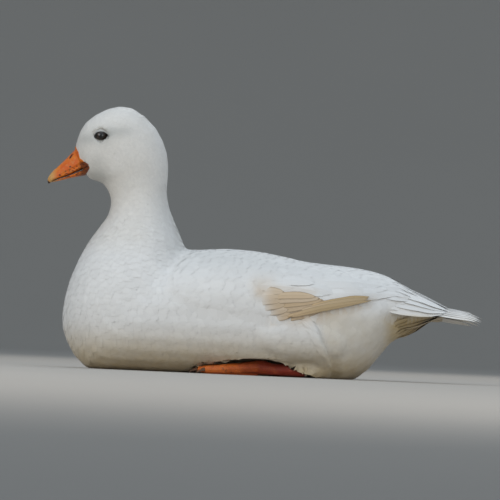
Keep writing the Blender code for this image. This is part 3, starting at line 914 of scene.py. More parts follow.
coat = {
    "reach": [18 * mm, 40 * mm, 75 * mm, 110 * mm, 150 * mm, 200 * mm],
    "spacing": [0.95 * mm, 1.15 * mm, 1.5 * mm, 2.0 * mm, 3.0 * mm, 4.2 * mm],
    "legs": ([4 * mm, 26 * mm], [1.6 * mm, 4.2 * mm]),  # distance from the leg, then the spacing there
    "eyes": ([6 * mm, 14 * mm], [0.6 * mm, 4.2 * mm]),
    "eyeRoom": (6.0 * mm, 3.8 * mm),  # half length and half height left clear round the eye
    "legRoom": 8 * mm,
    "smallBelow": 2.1 * mm,  # the spacing at which small feathers give way to large ones
    "small": {"rows": 4, "columns": 3, "length": 5.1, "width": 3.1, "twist": 0.08, "slope": 0.30,
              "camber": 0.05, "rag": 0.06, "loft": 0.02, "hug": False, "clear": 0.2 * mm},
    "large": {"rows": 6, "columns": 5, "length": 5.2, "width": 3.2, "twist": 0.07, "slope": 0.26,
              "camber": 0.02, "rag": 0.03, "loft": 0.015, "hug": True, "clear": 0.2 * mm},
}


def featherSize(points, reach):
    # small on the face and round the legs
    low = np.minimum(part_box("foot_left")[0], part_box("shank_left")[0])
    high = np.maximum(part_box("foot_left")[1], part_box("shank_left")[1])
    mirrored = np.abs(points) * (1, 0, 0) + points * (0, 1, 1)
    far = np.linalg.norm(np.maximum(np.maximum(low - mirrored, mirrored - high), 0), axis=1)
    sizes = np.minimum(np.interp(reach, coat["reach"], coat["spacing"]), np.interp(far, *coat["legs"]))
    return np.minimum(sizes, np.interp(eyeDistance(points), *coat["eyes"]))


ruffle = {  # where feathers lift off, and how far
    "nape": 0.9 * mm, "napeWide": (18 * mm, 4 * mm),
    "crest": 1.2 * mm, "crestAt": (0.655, 0.965), "crestWide": 4.5 * mm,
}


def tuftStand(roots):
    # low on the back of the neck, and at the back of the crown
    low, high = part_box("neck")
    behind = ramp(roots[:, 1], low.y + 0.72 * (high.y - low.y), high.y - 6 * mm)
    up = (roots[:, 2] - low.z) / (high.z - low.z)
    nape = behind * ramp(up, 0.15, 0.3) * ramp(up, 0.75, 0.5) * ramp(np.abs(roots[:, 0]), *ruffle["napeWide"])
    off = roots[:, 1:] - boxPoint("head", *ruffle["crestAt"])[1:]
    crest = np.exp(-np.sum(off ** 2, axis=1) / ruffle["crestWide"] ** 2)
    return nape * ruffle["nape"] + crest * ruffle["crest"]


def makeCoat(surface, outer, material):
    roots = scattered(surface, lambda points: featherSize(points, bodyField(points)[0]), 7)
    # none inside the hollows over the feet, nor under the bill's edge
    hem = hemLine()
    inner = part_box("foot_left")[0].x - coat["legRoom"]

    def overLeg(places, below):
        y = places[..., 1]
        above = places[..., 2] - np.interp(y, *hem.T)
        return (y > hem[0, 0]) & (y < hem[-1, 0]) & (np.abs(places[..., 0]) > inner) & (above < below)

    hollow = overLeg(roots, -0.2 * mm) | (underBill(roots) > 0.9 * mm)
    hollow |= overLeg(roots, 5 * mm) & (surface.nearest(roots)[1][:, 2] < -0.45)
    roots = roots[~hollow]
    reach, _, _ = bodyField(roots)

    def clear(line):
        # off the eyes and the hem
        chosen = ~overLeg(line, 0.4 * mm).any(axis=1)
        for eye in (centreOf("eye_left"), centreOf("eye_right")):
            off = (line - eye)[..., 1:] / np.array(coat["eyeRoom"])
            near = (np.sum(off ** 2, axis=-1) < 1) & (np.sign(line[..., 0]) == np.sign(eye[0]))
            chosen &= ~near.any(axis=1)
        return chosen

    small = featherSize(roots, reach) < coat["smallBelow"]
    vanes = layVanes(surface, roots[small], coat["small"], 11, clear)
    head, front, legs = vanes["reach"] < 62 * mm, vanes["reach"] < 34 * mm, vanes["reach"] > 130 * mm
    coatPiece("coat_face", vanes, front, material)
    coatPiece("coat_crown", vanes, head & ~front, material)
    coatPiece("coat_neck", vanes, ~head & ~legs, material)
    coatPiece("coat_legs", vanes, legs, material)
    vanes = layVanes(surface, roots[~small], coat["large"], 11)
    breast, upper = vanes["reach"] < 190 * mm, np.cos(vanes["angle"]) > 0.1
    coatPiece("coat_breast", vanes, breast, material)
    coatPiece("coat_back", vanes, ~breast & upper, material)
    coatPiece("coat_belly", vanes, ~breast & ~upper, material)


# each feather's line, as shares of the wing's length and height, root to tip; then its width, how high it
# and the next one lie, its stain, how round its tip is, where it shows, and where its colour starts
wingFeathers = {
    "tertial": {
        "lines": (
            ((0.62, 0.31), (0.75, 0.35), (0.90, 0.385), (1.12, 0.405)),
            ((0.58, 0.42), (0.75, 0.45), (0.92, 0.475), (1.06, 0.47)),
            ((0.55, 0.54), (0.72, 0.55), (0.90, 0.54), (1.03, 0.52)),
        ),
        "width": 12 * mm, "lift": (0.55 * mm, 0.1 * mm), "cream": 0.0, "blunt": 0.5, "shown": (0.2, 0.6),
        "fade": (0.2, 0.5), "tilt": 0.2 * mm,
    },
    "secondary": {
        "lines": (
            ((0.560, -0.04), (0.62, -0.01), (0.69, 0.07), (0.790, 0.21)),
            ((0.535, 0.01), (0.60, 0.045), (0.68, 0.12), (0.775, 0.23)),
            ((0.515, 0.07), (0.58, 0.11), (0.67, 0.17), (0.760, 0.25)),
            ((0.500, 0.13), (0.57, 0.18), (0.65, 0.22), (0.745, 0.265)),
            ((0.485, 0.20), (0.56, 0.245), (0.64, 0.27), (0.730, 0.285)),
            ((0.475, 0.27), (0.55, 0.30), (0.63, 0.315), (0.710, 0.305)),
        ),
        "width": 6.2 * mm, "lift": (0.45 * mm, 0.12 * mm), "cream": 0.9, "blunt": 0.55,
        "shown": (-0.05, 0.30), "fade": (-0.5, 0.2), "tilt": 0.25 * mm,
    },
    "greater": {
        "lines": (
            ((0.395, 0.33), (0.44, 0.355), (0.49, 0.365), (0.555, 0.355)),
            ((0.390, 0.26), (0.435, 0.28), (0.485, 0.295), (0.550, 0.30)),
            ((0.400, 0.19), (0.44, 0.205), (0.49, 0.225), (0.550, 0.24)),
            ((0.420, 0.12), (0.46, 0.13), (0.505, 0.15), (0.565, 0.175)),
            ((0.445, 0.05), (0.485, 0.055), (0.525, 0.07), (0.580, 0.10)),
            ((0.470, -0.02), (0.51, -0.02), (0.55, -0.01), (0.600, 0.03)),
        ),
        "width": 7.2 * mm, "lift": (0.80 * mm, 0.02 * mm), "cream": 0.85, "blunt": 0.8, "shown": (0.0, 0.8),
        "fade": (0.15, 0.85), "tilt": 0.15 * mm,
    },
    "primary": {
        "lines": (
            ((0.640, 0.12), (0.74, 0.20), (0.83, 0.262), (0.90, 0.31), (0.972, 0.345)),
            ((0.600, 0.05), (0.70, 0.13), (0.80, 0.215), (0.90, 0.275), (0.965, 0.318)),
            ((0.530, -0.05), (0.64, 0.045), (0.73, 0.125), (0.83, 0.195), (0.980, 0.292)),
        ),
        "width": 4.4 * mm, "lift": (1.3 * mm, 0.35 * mm), "cream": 1.0, "blunt": 0.35, "shown": (0.0, 0.16),
        # under: painted shade along the primaries
        "fade": (-1.0, -0.5), "tilt": 0.25 * mm, "under": 0.5,
    },
    "covert": {
        "lines": (
            ((0.34, 0.42), (0.46, 0.40), (0.58, 0.39), (0.68, 0.375)),
            ((0.44, 0.46), (0.56, 0.44), (0.68, 0.40), (0.760, 0.35)),
            ((0.50, 0.53), (0.62, 0.50), (0.73, 0.43), (0.800, 0.38)),
            ((0.26, 0.48), (0.38, 0.45), (0.50, 0.44), (0.60, 0.44)),
            ((0.36, 0.58), (0.48, 0.56), (0.60, 0.54), (0.70, 0.51)),
        ),
        "width": 9 * mm, "lift": (0.15 * mm, 0.04 * mm), "cream": 0.0, "blunt": 0.6, "shown": (0.1, 0.7),
        "fade": (0.2, 0.5), "tilt": 0.15 * mm,
    },
}
blade = {
    "rows": 14,
    "cross": (-1.0, -0.6, -0.14, 0.0, 0.14, 0.6, 1.0),
    "camber": 0.05,
    "shaft": 0.16 * mm,
    "fray": 0.5 * mm,
    "buried": 1.6 * mm,  # how deep a wing feather's root lies
}


def smoothLine(knots, count):
    # a smooth line through a few points, at even steps
    knots = np.asarray(knots, float)
    knots = np.vstack([2 * knots[0] - knots[1], knots, 2 * knots[-1] - knots[-2]])
    spans = len(knots) - 3
    at = np.linspace(0, spans, count)
    i = np.minimum(at.astype(int), spans - 1)
    u = (at - i)[:, None]
    a, b, c, d = (knots[i + k] for k in range(4))
    return curved(a, b, c, d, u)


def smoothed(values, rounds):
    # each place drawn towards the middle of its two neighbours
    for _ in range(rounds):
        values = values.copy()
        values[1:-1] = 0.5 * values[1:-1] + 0.25 * (values[:-2] + values[2:])
    return values


def onSide(outer, flat, side):
    # points seen from the side, put on the body's surface; past its edge they keep the last depth
    places = []
    last = 0.045 * side
    for y, z in flat:
        hit = outer.across(Vector((side * 0.2, y, z)), Vector((-side, 0, 0)), 0.25)
        if hit is not None and hit.x * side > 0.02:
            last = hit.x
        places.append((last, y, z))
    return np.array(places)


def bladeOutline(share, blunt):
    swell = 0.6 + 0.4 * np.sin(np.minimum(share / 0.5, 1.0) * math.pi / 2)
    tip = np.clip((share - 0.72) / 0.28, 0, 1)
    return swell * (blunt * np.sqrt(np.clip(1 - 0.97 * tip ** 2, 0, 1)) + (1 - blunt) * (1 - 0.93 * tip))


def makeBlades(name, blades, material, seed):
    # big feathers, each a thin closed shell along its own line; every one has its own square in the bake map
    random = np.random.default_rng(seed)
    cross = np.array(blade["cross"])
    rows, columns = blade["rows"], len(cross)
    share = np.linspace(0, 1, rows)
    grids, creams, unders = [], [], []
    for feather in blades:
        path, ups = feather["path"], feather["ups"]
        ways = unit(np.gradient(path, axis=0))
        side = unit(np.cross(ups, ways))
        half = feather["width"] / 2 * bladeOutline(share, feather["blunt"]) * random.uniform(0.93, 1.07)
        half = half * (1 + random.uniform(-0.03, 0.03, rows))
        grid = path[:, None] + side[:, None] * (half[:, None] * cross)[..., None]
        lift = feather["lift"][:, None]
        up = np.repeat(ups[:, None], columns, axis=1)
        if feather["hug"] is not None:
            grid, up, _ = feather["hug"].nearest(grid)
        arch = feather.get("camber", blade["camber"]) * half[:, None] * (1 - np.abs(cross) ** 1.6)
        tilt = feather.get("tilt", 0.0) * cross  # one edge stands above the other
        ridge = blade["shaft"] * np.maximum(0, 1 - np.abs(cross) / 0.14) * (1 - 0.6 * share[:, None])
        grid = grid + up * (lift + arch + ridge + tilt)[..., None]
        fray = random.uniform(0.2, 1, columns) * blade["fray"] * (1 - cross ** 2)
        grid[-1] += ways[-1] * fray[:, None]
        grids.append(grid)
        creams.append(np.repeat(feather["cream"] * ramp(share, *feather.get("fade", (-1.0, -0.5))), columns))
        # each feather's under value: painted shade
        unders.append(np.repeat(feather.get("under", 0.0) * ramp(share, 0.1, 0.6), columns))
    vanes = {
        "grid": np.array(grids), "shares": share, "cross": cross, "tint": random.random(len(grids)),
        "reach": np.zeros(len(grids)), "angle": np.zeros(len(grids)),
    }
    extra = {"cream": np.concatenate(creams), "under": np.concatenate(unders)}
    return coatPiece(name, vanes, np.ones(len(grids), bool), material, extra)


def wingBlades(outer):
    random = np.random.default_rng(17)
    blades = []
    for side in (1, -1):
        for look in wingFeathers.values():
            for order, line in enumerate(look["lines"]):
                flat = smoothLine(along("wing_left", line), blade["rows"])
                path = onSide(outer, flat, side)
                share = np.linspace(0, 1, len(path))
                lift = look["lift"][0] + order * look["lift"][1]
                late = random.uniform(-0.03, 0.03)
                buried = blade["buried"]
                blades.append({
                    **look, "path": path, "ups": outer.nearest(path)[1], "hug": outer,
                    "lift": -buried + (lift + buried) * ramp(share + late, *look["shown"]),
                    "cream": look["cream"] * random.uniform(0.85, 1.0), "tilt": -side * look["tilt"],
                })
    return blades


flankFeathers = {
    "count": 16, "rows": 3, "apart": 5 * mm, "long": 24 * mm, "width": 4.2 * mm, "lift": 0.55 * mm,
    "buried": 1.2 * mm,
    "lean": (30, 38),  # degrees at the top, and how much more at the bottom
}


def flankBlades(outer):
    # long narrow feathers that end along the crease behind the flank
    look = flankFeathers
    line = np.array(along("thigh_left", folds["flankEnd"]))
    random = np.random.default_rng(41)
    blades = []
    for side in (1, -1):
        tips = smoothLine(line, look["count"])
        for i, tip in enumerate(np.repeat(tips[1:-2], look["rows"], axis=0)):
            down = i / (len(tips) * look["rows"])
            lean = math.radians(look["lean"][0] + look["lean"][1] * down + random.uniform(-5, 5))
            back = np.array((-math.cos(lean), math.sin(lean)))
            shift = i % look["rows"] * look["apart"] + random.uniform(-1.5, 2.5) * mm
            tip = tip + np.array((0.6, 0)) * mm + back * shift
            root = tip + back * look["long"] * random.uniform(0.8, 1.1)
            middle = (root + tip) / 2 + np.array((-0.3, -0.8)) * mm
            path = onSide(outer, smoothLine((root, middle, tip), blade["rows"]), side)
            lift = look["lift"] * random.uniform(0.5, 1.3)
            rise = ramp(np.linspace(0, 1, len(path)), 0, 0.75)
            blades.append({
                "path": path, "ups": outer.nearest(path)[1], "width": look["width"], "blunt": 0.25,
                "lift": -look["buried"] + (look["buried"] + lift) * rise, "hug": outer, "cream": 0.0,
            })
    return blades


tailFan = {
    "count": 14,
    "wide": (0.34, 0.93),  # shares of the tail's half width at the roots and at the tips
    # the fan's ridge, as shares of the tail's length and height
    "ridge": (
        (-0.10, 0.81), (0.0, 0.745), (0.34, 0.622), (0.524, 0.582), (0.81, 0.525), (0.96, 0.45), (1.0, 0.40),
    ),
    # from the middle feather to the outermost: share of the tail's length at the tip
    "tips": (0.82, 0.88, 0.97, 0.93, 1.0, 0.95, 0.84),
    "drop": (6.3 * mm, 10.0 * mm),  # how much lower the outer feathers are, left and right
    "width": 12.0 * mm,
    "tilt": 0.2 * mm,  # how much a feather's outer edge stands above its inner one
    "arch": 0.9 * mm,  # how much the middle feather lies above the outer ones
}
coverts = {  # the feathers over the tail's roots, and those under them
    "count": 17, "rows": 3,
    "end": 0.56,  # where their tips lie, as a share of the tail's length
    "width": 14 * mm,
    "tilt": 0.1 * mm,
    "camber": 0.018,
    "lift": (2.25 * mm, 0.05 * mm),  # from the roots, and more for each row
    "buried": 2.2 * mm,
    # where they grow: half width, then from the tail's start back, height and rise; up or down; how much
    # brown painted shade they carry, partly stain
    "over": (39 * mm, -17 * mm, 0.52, 26 * mm, 1, 0.0),
    "below": (30 * mm, -8 * mm, 0.42, -22 * mm, -1, 0.75),
}


def fanPoint(a, share, lift=0.0):
    # a place on the tail's fan: a from -1 to 1 across, share of the tail's length along
    low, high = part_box("tail")
    ridge = np.array(tailFan["ridge"])
    height = low.z + np.interp(share, ridge[:, 0], ridge[:, 1]) * (high.z - low.z)
    drop = tailFan["drop"][0 if a > 0 else 1] * abs(a) ** 1.8 * ramp(np.array(share), -0.3, 0.3)
    wide = np.interp(share, (0.0, 0.75), tailFan["wide"]) * high.x
    return np.array((a * wide, low.y + share * (high.y - low.y), height - float(drop) + lift))


def covertPath(outer, place, row, a, end):
    # from its root on the body to its tip on the fan
    wide, back, height, rise, sign, _ = coverts[place]
    low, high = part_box("tail")
    tip = fanPoint(a * 0.97, end, sign * (0.8 + 0.35 * row) * mm)
    up = low.z + height * (high.z - low.z) + rise * (1 - abs(a) ** 2.2)
    path = outer.nearest(np.array(((a * wide, low.y + back - 7 * mm * row, up),)))[0]
    path = path + (tip - path) * np.linspace(0, 1, blade["rows"])[:, None]
    spots, ups, _ = outer.nearest(path)
    # on the body while the body is outside the straight way
    grip = ramp(np.sum((path - spots) * ups, axis=1), 2.5 * mm, 0.0)[:, None]
    return smoothed(path * (1 - grip) + spots * grip, 3)


def tailBlades(outer):
    random = np.random.default_rng(5)
    blades = []
    shares = np.linspace(0, 1, blade["rows"])
    tips = tailFan["tips"]
    for i in range(tailFan["count"]):
        a = (i + 0.5) / tailFan["count"] * 2 - 1
        end = np.interp(abs(a), np.linspace(0, 1, len(tips)), tips) + random.uniform(-0.03, 0.01)
        path = np.array([fanPoint(a, share * end) for share in shares])
        ups = np.tile(unit(np.array((a * 0.30, 0.05, 1.0))), (len(path), 1))
        lift = np.full(len(path), (1 - abs(a)) * tailFan["arch"])
        blades.append({
            "path": path, "ups": ups, "width": tailFan["width"], "blunt": 0.5, "lift": lift,
            "hug": None, "cream": 0.05, "tilt": -np.sign(a) * tailFan["tilt"],
        })
    for place in ("over", "below"):
        # under: brown painted shade, partly stain, on the feathers under the tail
        sign, under = coverts[place][4:]
        for row in range(coverts["rows"]):
            for i in range(coverts["count"] - row):
                a = (i + 0.5 + 0.5 * row) / coverts["count"] * 2 - 1
                end = coverts["end"] - 0.17 * row - 0.06 * abs(a) + random.uniform(-0.03, 0.03)
                places = (a, a - 0.05, a + 0.05)
                path, left, right = (covertPath(outer, place, row, at, end) for at in places)
                ups = smoothed(unit(np.cross(right - left, np.gradient(path, axis=0))), 3) * sign
                rise = coverts["lift"][0] + coverts["lift"][1] * row
                blades.append({
                    "path": path, "ups": ups, "width": coverts["width"], "blunt": 0.45, "hug": None,
                    "lift": -coverts["buried"] + rise * ramp(shares, 0.0, random.uniform(0.45, 0.85)),
                    "under": under * random.uniform(0.9, 1.0), "cream": 0.0, "camber": coverts["camber"],
                    "tilt": -sign * np.sign(a) * coverts["tilt"],
                })
    return blades


eyeShape = {
    "rings": 28, "sides": 40,
    "cornea": 0.45 * mm,  # how far the clear front bulges past the ball
    "flat": 0.84,  # the ball's front is this much flatter than round
    "iris": 0.62,  # share of the ball's radius
    "shy": 1.3 * mm,  # how far the ball draws back behind the lids
    "sunk": 0.15 * mm,  # how far the ball sits back from its place in the head
    # the opening between the lids: half length in front and behind, half height above and below
    "front": 5.2 * mm, "rear": 4.5 * mm, "above": 3.1 * mm, "below": 3.0 * mm,
    "lidWidth": 2.3 * mm,
    "lidUnder": 1.1 * mm,  # how deep the lid's hidden side lies
    # across the lid from the opening out: share of its width, height in millimetres, and how dark it is
    # dark is the lid's own dark edge by the opening, greying outward as painted socket shade
    "lid": (
        (0.0, 0.08, 1.0), (0.08, 0.16, 1.0), (0.22, 0.18, 0.6), (0.42, 0.10, 0.32), (0.7, -0.1, 0.22),
        (1.0, -0.7, 0.1),
    ),
}


def eyePlace(side):
    name = "eye_left" if side > 0 else "eye_right"
    low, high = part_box(name)
    return name, centreOf(name), (high.z - low.z) / 2


def opened(run, rise):
    # how far the opening between the lids reaches, behind or in front, and above or below
    return (np.where(run > 0, eyeShape["rear"], eyeShape["front"]),
            np.where(rise > 0, eyeShape["above"], eyeShape["below"]))


def eyeball(side):
    name, centre, radius = eyePlace(side)
    rings, count = eyeShape["rings"], eyeShape["sides"]
    angles = [2 * math.pi * j / count for j in range(count)]
    points = [(1.0, 0.0, 0.0)]
    for polar in (math.pi * i / rings for i in range(1, rings)):
        off = math.sin(polar)
        points += [(math.cos(polar), off * math.cos(a), off * math.sin(a)) for a in angles]
    points = np.array([*points, (-1.0, 0.0, 0.0)])
    x, y, z = points.T
    long, tall = opened(y, z)
    behindLids = ramp(np.hypot(y / long, z / tall) * radius, 1.0, 1.3) * eyeShape["shy"]
    bulge = ramp(np.hypot(y, z), eyeShape["iris"] + 0.12, 0.0) * (x > 0) * eyeShape["cornea"]
    depth = np.where(x > 0, eyeShape["flat"], 1.0) * x * radius + bulge - behindLids - eyeShape["sunk"]
    points = points * radius
    points[:, 0] = depth * side
    faces = ringFaces(rings - 1, count, True)
    if side < 0:
        faces = [face[::-1] for face in faces]
    piece = meshObject(name.replace("eye", "eyeball"), points + centre, faces)
    dress(piece, eyeMaterial(name, centre, radius), "eye_dark", name)


def eyeMaterial(name, centre, radius):
    made = Shader(name)
    place, _, y, z = made.coords()
    off = (((y - float(centre[1])) ** 2.0 + (z - float(centre[2])) ** 2.0).sqrt()) * (1 / radius)
    streak = made.noise(place, 900.0, 2.0)
    iris = made.mix(streak, (0.030, 0.016, 0.009), (0.012, 0.007, 0.004))
    colour = made.mix(off.step(0.36, 0.40), (0.002, 0.002, 0.002), iris)
    colour = made.mix(off.step(0.60, 0.68), colour, (0.006, 0.005, 0.004))
    made.set(Specular_IOR_Level=0.2, Coat_Weight=0.7, Coat_Roughness=0.10)
    return made.set(Base_Color=colour, Roughness=0.35)


def lidRing(outer, side):
    # a rounded rim round the eye, lying on the ball inside and on the head outside
    _, centre, radius = eyePlace(side)
    count = 64
    angle = np.linspace(0, 2 * math.pi, count, endpoint=False)
    run, rise = np.cos(angle), np.sin(angle)
    long, tall = opened(run, rise)
    flatRun, flatRise = long * np.sign(run) * np.abs(run) ** 0.95, tall * rise
    # the front corner points forward and down, the rear one back and a little up
    flatRise = flatRise - 0.9 * mm * ramp(-run, 0.72, 1.0) + 0.5 * mm * ramp(run, 0.75, 1.0)
    flatRun = flatRun - 0.3 * mm * ramp(-run, 0.85, 1.0) + 0.8 * mm * ramp(run, 0.93, 1.0)
    opening = np.stack([flatRun, flatRise], 1)
    outward = unit(opening)
    rows = []
    for step, lift, _ in eyeShape["lid"]:
        flat = opening + outward * step * eyeShape["lidWidth"]
        far = np.minimum(np.linalg.norm(flat, axis=1) / radius, 1.0)
        onBall = centre[0] * side + radius * eyeShape["flat"] * np.sqrt(1 - far ** 2)
        hits = [outer.across(Vector((side * 0.1, centre[1] + a, centre[2] + b)), Vector((-side, 0, 0)), 0.1)
                for a, b in flat]
        onHead = np.array([abs(hit.x) for hit in hits]) - 0.45 * mm * (1 - step)
        blend = ramp(onBall - onHead, -0.8 * mm, 0.8 * mm)
        depth = onBall * blend + onHead * (1 - blend) + 0.12 * mm * 4 * blend * (1 - blend) + lift * mm
        rows.append(np.stack([side * depth, centre[1] + flat[:, 0], centre[2] + flat[:, 1]], 1))
    rows += [row - (side * eyeShape["lidUnder"], 0, 0) for row in (rows[-1], rows[0])]
    faces = []
    for i in range(len(rows)):
        for j in range(count):
            k, n = (j + 1) % count, (i + 1) % len(rows)
            face = (i * count + j, i * count + k, n * count + k, n * count + j)
            faces.append(face if side < 0 else face[::-1])
    dark = [*(row[2] for row in eyeShape["lid"]), 0.0, 1.0]
    return np.concatenate(rows), faces, np.repeat(dark, count)


def addLids(skin, outer):
    # the lids join the skin's own mesh
    (left, leftFaces, leftDark), (right, rightFaces, rightDark) = (lidRing(outer, side) for side in (1, -1))
    points = np.concatenate([left, right])
    lids = meshObject("lids", points, leftFaces + [tuple(len(left) + i for i in face) for face in rightFaces])
    store(lids.data, {**bodyMarks(points), "rim": np.concatenate([leftDark, rightDark])})
    with bpy.context.temp_override(active_object=skin, selected_editable_objects=[skin, lids], object=skin):
        bpy.ops.object.join()


billShape = {
    "voxel": 0.36 * mm,
    "smooth": 5,
    # place as shares of the bill's length and height, half length, half width, depth
    "nostril": (0.638, 0.79, 2.3 * mm, 0.75 * mm, 1.2 * mm),
    "nostrilRim": 0.18 * mm,
    "nail": (5.5 * mm, 3.4 * mm, 0.35 * mm),  # length, half width, how far it stands up
    "hollow": (0.45 * mm, 3.6 * mm, 1.7 * mm),  # depth, height above the cutting edge, half width
    "comb": (0.14 * mm, 0.85 * mm, 1.1 * mm),  # depth, from one ridge to the next, half height
    # dark spots: place as shares, and radius
    "spots": (
        (0.635, 0.49, 0.75 * mm), (0.347, 0.24, 0.95 * mm), (0.70, 0.86, 0.5 * mm), (0.50, 0.36, 0.4 * mm),
    ),
    "orange": (0.70, 0.185, 0.010),
    "red": (0.62, 0.110, 0.010),
    "tan": (0.60, 0.37, 0.13),
    "dark": (0.075, 0.022, 0.012),
}


gape = {
    # lines seen from the side, as shares of the upper bill's length and height
    "mouth": ((0.60, 0.25), (0.703, 0.294), (0.88, 0.38), (1.058, 0.466), (1.165, 0.535)),
    "feathers": (
        (0.72, 1.20), (0.79, 1.02), (0.85, 0.92), (0.90, 0.74), (0.99, 0.68), (1.12, 0.60), (1.185, 0.535),
        (1.20, 0.47), (1.15, 0.37), (1.05, 0.25), (0.90, 0.10),
    ),
    "raise": 0.45 * mm,
    "thick": 1.6 * mm,
    "gap": 0.30 * mm,
}


def split(points, faces):
    # every triangle into four
    keys, index = np.unique(np.sort(edgesOf(faces), axis=1), axis=0, return_inverse=True)
    ab, bc, ca = index.reshape(3, -1) + len(points)
    a, b, c = faces.T
    four = [np.stack(corners, 1) for corners in ((a, ab, ca), (b, bc, ab), (c, ca, bc), (ab, bc, ca))]
    return np.concatenate([points, points[keys].mean(axis=1)]), np.concatenate(four)


def collar(outer, above):
    # the bill's edge spread back over the face, up to the feathers: a shell over the face there
    _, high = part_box("bill_upper")
    near = outer.points[outer.faces].mean(axis=1)[:, 1] < high.y + 12 * mm
    points, faces = split(*split(outer.points, outer.faces[near]))
    middle = points[faces].mean(axis=1)
    ahead = lineSide(middle, along("bill_upper", gape["feathers"]))[0] < 0
    mouth, _ = lineSide(middle, along("bill_upper", gape["mouth"]))
    chosen = faces[ahead & ((mouth > gape["gap"]) if above else (mouth < -gape["gap"]))]
    used, corners = np.unique(chosen, return_inverse=True)
    corners = corners.reshape(-1, 3)
    points = points[used]
    normals = vertexNormals(points, corners)
    count = len(points)
    ends = edgesOf(corners)
    _, index, times = np.unique(np.sort(ends, axis=1), axis=0, return_inverse=True, return_counts=True)
    a, b = ends[times[index.reshape(-1)] == 1].T
    walls = np.concatenate([np.stack([b, a, a + count], 1), np.stack([b, a + count, b + count], 1)])
    shell = np.concatenate([corners, corners[:, ::-1] + count, walls])
    return np.concatenate([points + normals * gape["raise"], points - normals * gape["thick"]]), shell


def fromBill(y, z, back, up):
    # how far back and up from a place given as shares of the upper bill's length and height
    low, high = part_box("bill_upper")
    return y - (low.y + back * (high.y - low.y)), z - (low.z + up * (high.z - low.z))


def nostrilPit(y, z):
    # 0 in the middle of the nostril's slanting slit and 1 at its edge
    back, up, long, wide, _ = billShape["nostril"]
    run, rise = fromBill(y, z, back, up)
    return ((run * 0.5 + rise * 0.87) * (1 / long)) ** 2.0 + ((run * 0.87 - rise * 0.5) * (1 / wide)) ** 2.0


def billRelief(points):
    # the nostrils, the nail, a soft hollow along the side above the cutting edge, and the edge's comb
    low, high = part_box("bill_upper")
    x, y, z = points.T
    pit, sides = nostrilPit(y, z), np.abs(x) > 1.5 * mm
    off = -billShape["nostril"][4] * ramp(pit, 1.2, 0.3) * sides
    off += billShape["nostrilRim"] * np.exp(-((np.sqrt(pit) - 1.5) / 0.4) ** 2) * sides
    long, wide, raised = billShape["nail"]
    off += raised * ramp(((y - low.y) / long) ** 2 + (x / wide) ** 2, 1.25, 0.85)
    share = (y - low.y) / (high.y - low.y)
    edge = low.z + (0.02 + 0.45 * share ** 1.3) * (high.z - low.z)
    deep, above, wide = billShape["hollow"]
    off -= deep * np.exp(-((z - edge - above) / wide) ** 2) * ramp(share, 0.15, 0.4)
    deep, apart, wide = billShape["comb"]
    comb = 0.5 + 0.5 * np.sin(2 * math.pi * y / apart)
    return off + deep * comb * np.exp(-((z - edge) / wide) ** 2) * ramp(share, 0.08, 0.2)


def makeBill(outer):
    material = billMaterial()
    for part in ("bill_upper", "bill_lower"):
        solids = [arrays(nodes[part].data), collar(outer, part == "bill_upper")]
        piece = fused(part + "_horn", solids, 0.05 * mm, billShape["voxel"])
        points, faces = arrays(piece.data)
        points = evened(points, faces, billShape["smooth"])
        if part == "bill_upper":
            points = points + vertexNormals(points, faces) * billRelief(points)[:, None]
        moved(piece, points)
        dress(piece, material, "bill_orange", part)
    print("bill made")


def billMaterial():
    made = Shader("bill")
    low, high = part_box("bill_upper")
    size = high - low
    place, _, y, z = made.coords()
    run, up = (y - low.y) * (1 / size.y), (z - low.z) * (1 / size.z)
    cloud = made.noise(place, 160.0, 3.0)
    colour = made.mix(cloud.step(0.35, 0.7), billShape["orange"], billShape["red"])
    centre = ((run - 0.62) ** 2.0 * 9.0 + (up - 0.55) ** 2.0 * 16.0).step(1.0, 0.0)
    colour = made.mix(centre * 0.75, colour, billShape["red"])
    tip = (run + 0.25 * up).step(0.40, 0.12)
    colour = made.mix(tip * 0.8, colour, billShape["tan"])
    pale = made.noise(place, 420.0, 2.0).step(0.45, 0.75)
    colour = made.mix(pale * 0.22, colour, billShape["tan"])
    # brown mottling low down towards the mouth's corner
    mottle = made.noise(made.stretched(place, 1.0, 0.8, 1.6), 520.0, 3.0).step(0.50, 0.62)
    lowBand = (up - run * 0.52).step(0.19, 0.05) * run.step(0.28, 0.6)
    colour = made.mix(mottle * lowBand * 0.85, colour, billShape["dark"])
    corner = run.step(0.84, 1.0) * (up - 0.64).step(0.04, -0.03)
    colour = made.mix(corner * 0.75, colour, billShape["dark"])
    for back, rise, radius in billShape["spots"]:
        aft, above = fromBill(y, z, back, rise)
        far = (aft ** 2.0 + above ** 2.0).sqrt() * (1 / radius) + (cloud - 0.5) * 0.8
        colour = made.mix(far.step(1.2, 0.7) * 0.85, colour, billShape["dark"])
    # the nostril's slit is painted near black: painted shade in its pit
    colour = made.mix(nostrilPit(y, z).step(1.3, 0.5) * 0.9, colour, (0.03, 0.008, 0.004))
    hook = (run * 1.4 + (up - 0.02).high(0.0) * 2.0).step(0.17, 0.06)
    colour = made.mix(hook, colour, (0.055, 0.030, 0.018))
    grain = made.noise(made.stretched(place, 1.0, 0.5, 1.0), 900.0, 3.0)
    normal = made.bump(grain + 0.6 * cloud, 0.12 * mm, 0.6)
    made.set(Specular_IOR_Level=0.3, Subsurface_Weight=0.10, Subsurface_Radius=(0.004, 0.0015, 0.0008))
    return made.set(Base_Color=colour, Roughness=0.46 + 0.12 * cloud, Normal=normal)


footShape = {
    "voxel": 0.65 * mm,
    "scute": 1.9 * mm,
    "clear": 0.05 * mm,  # above the floor
    "orange": (0.72, 0.170, 0.020),
    # red: the darker rear of the leg, partly its redder skin, partly painted shade
    "red": (0.30, 0.032, 0.014),
    # pale: painted light on the tops of the toes
    "pale": (0.66, 0.30, 0.09),
}


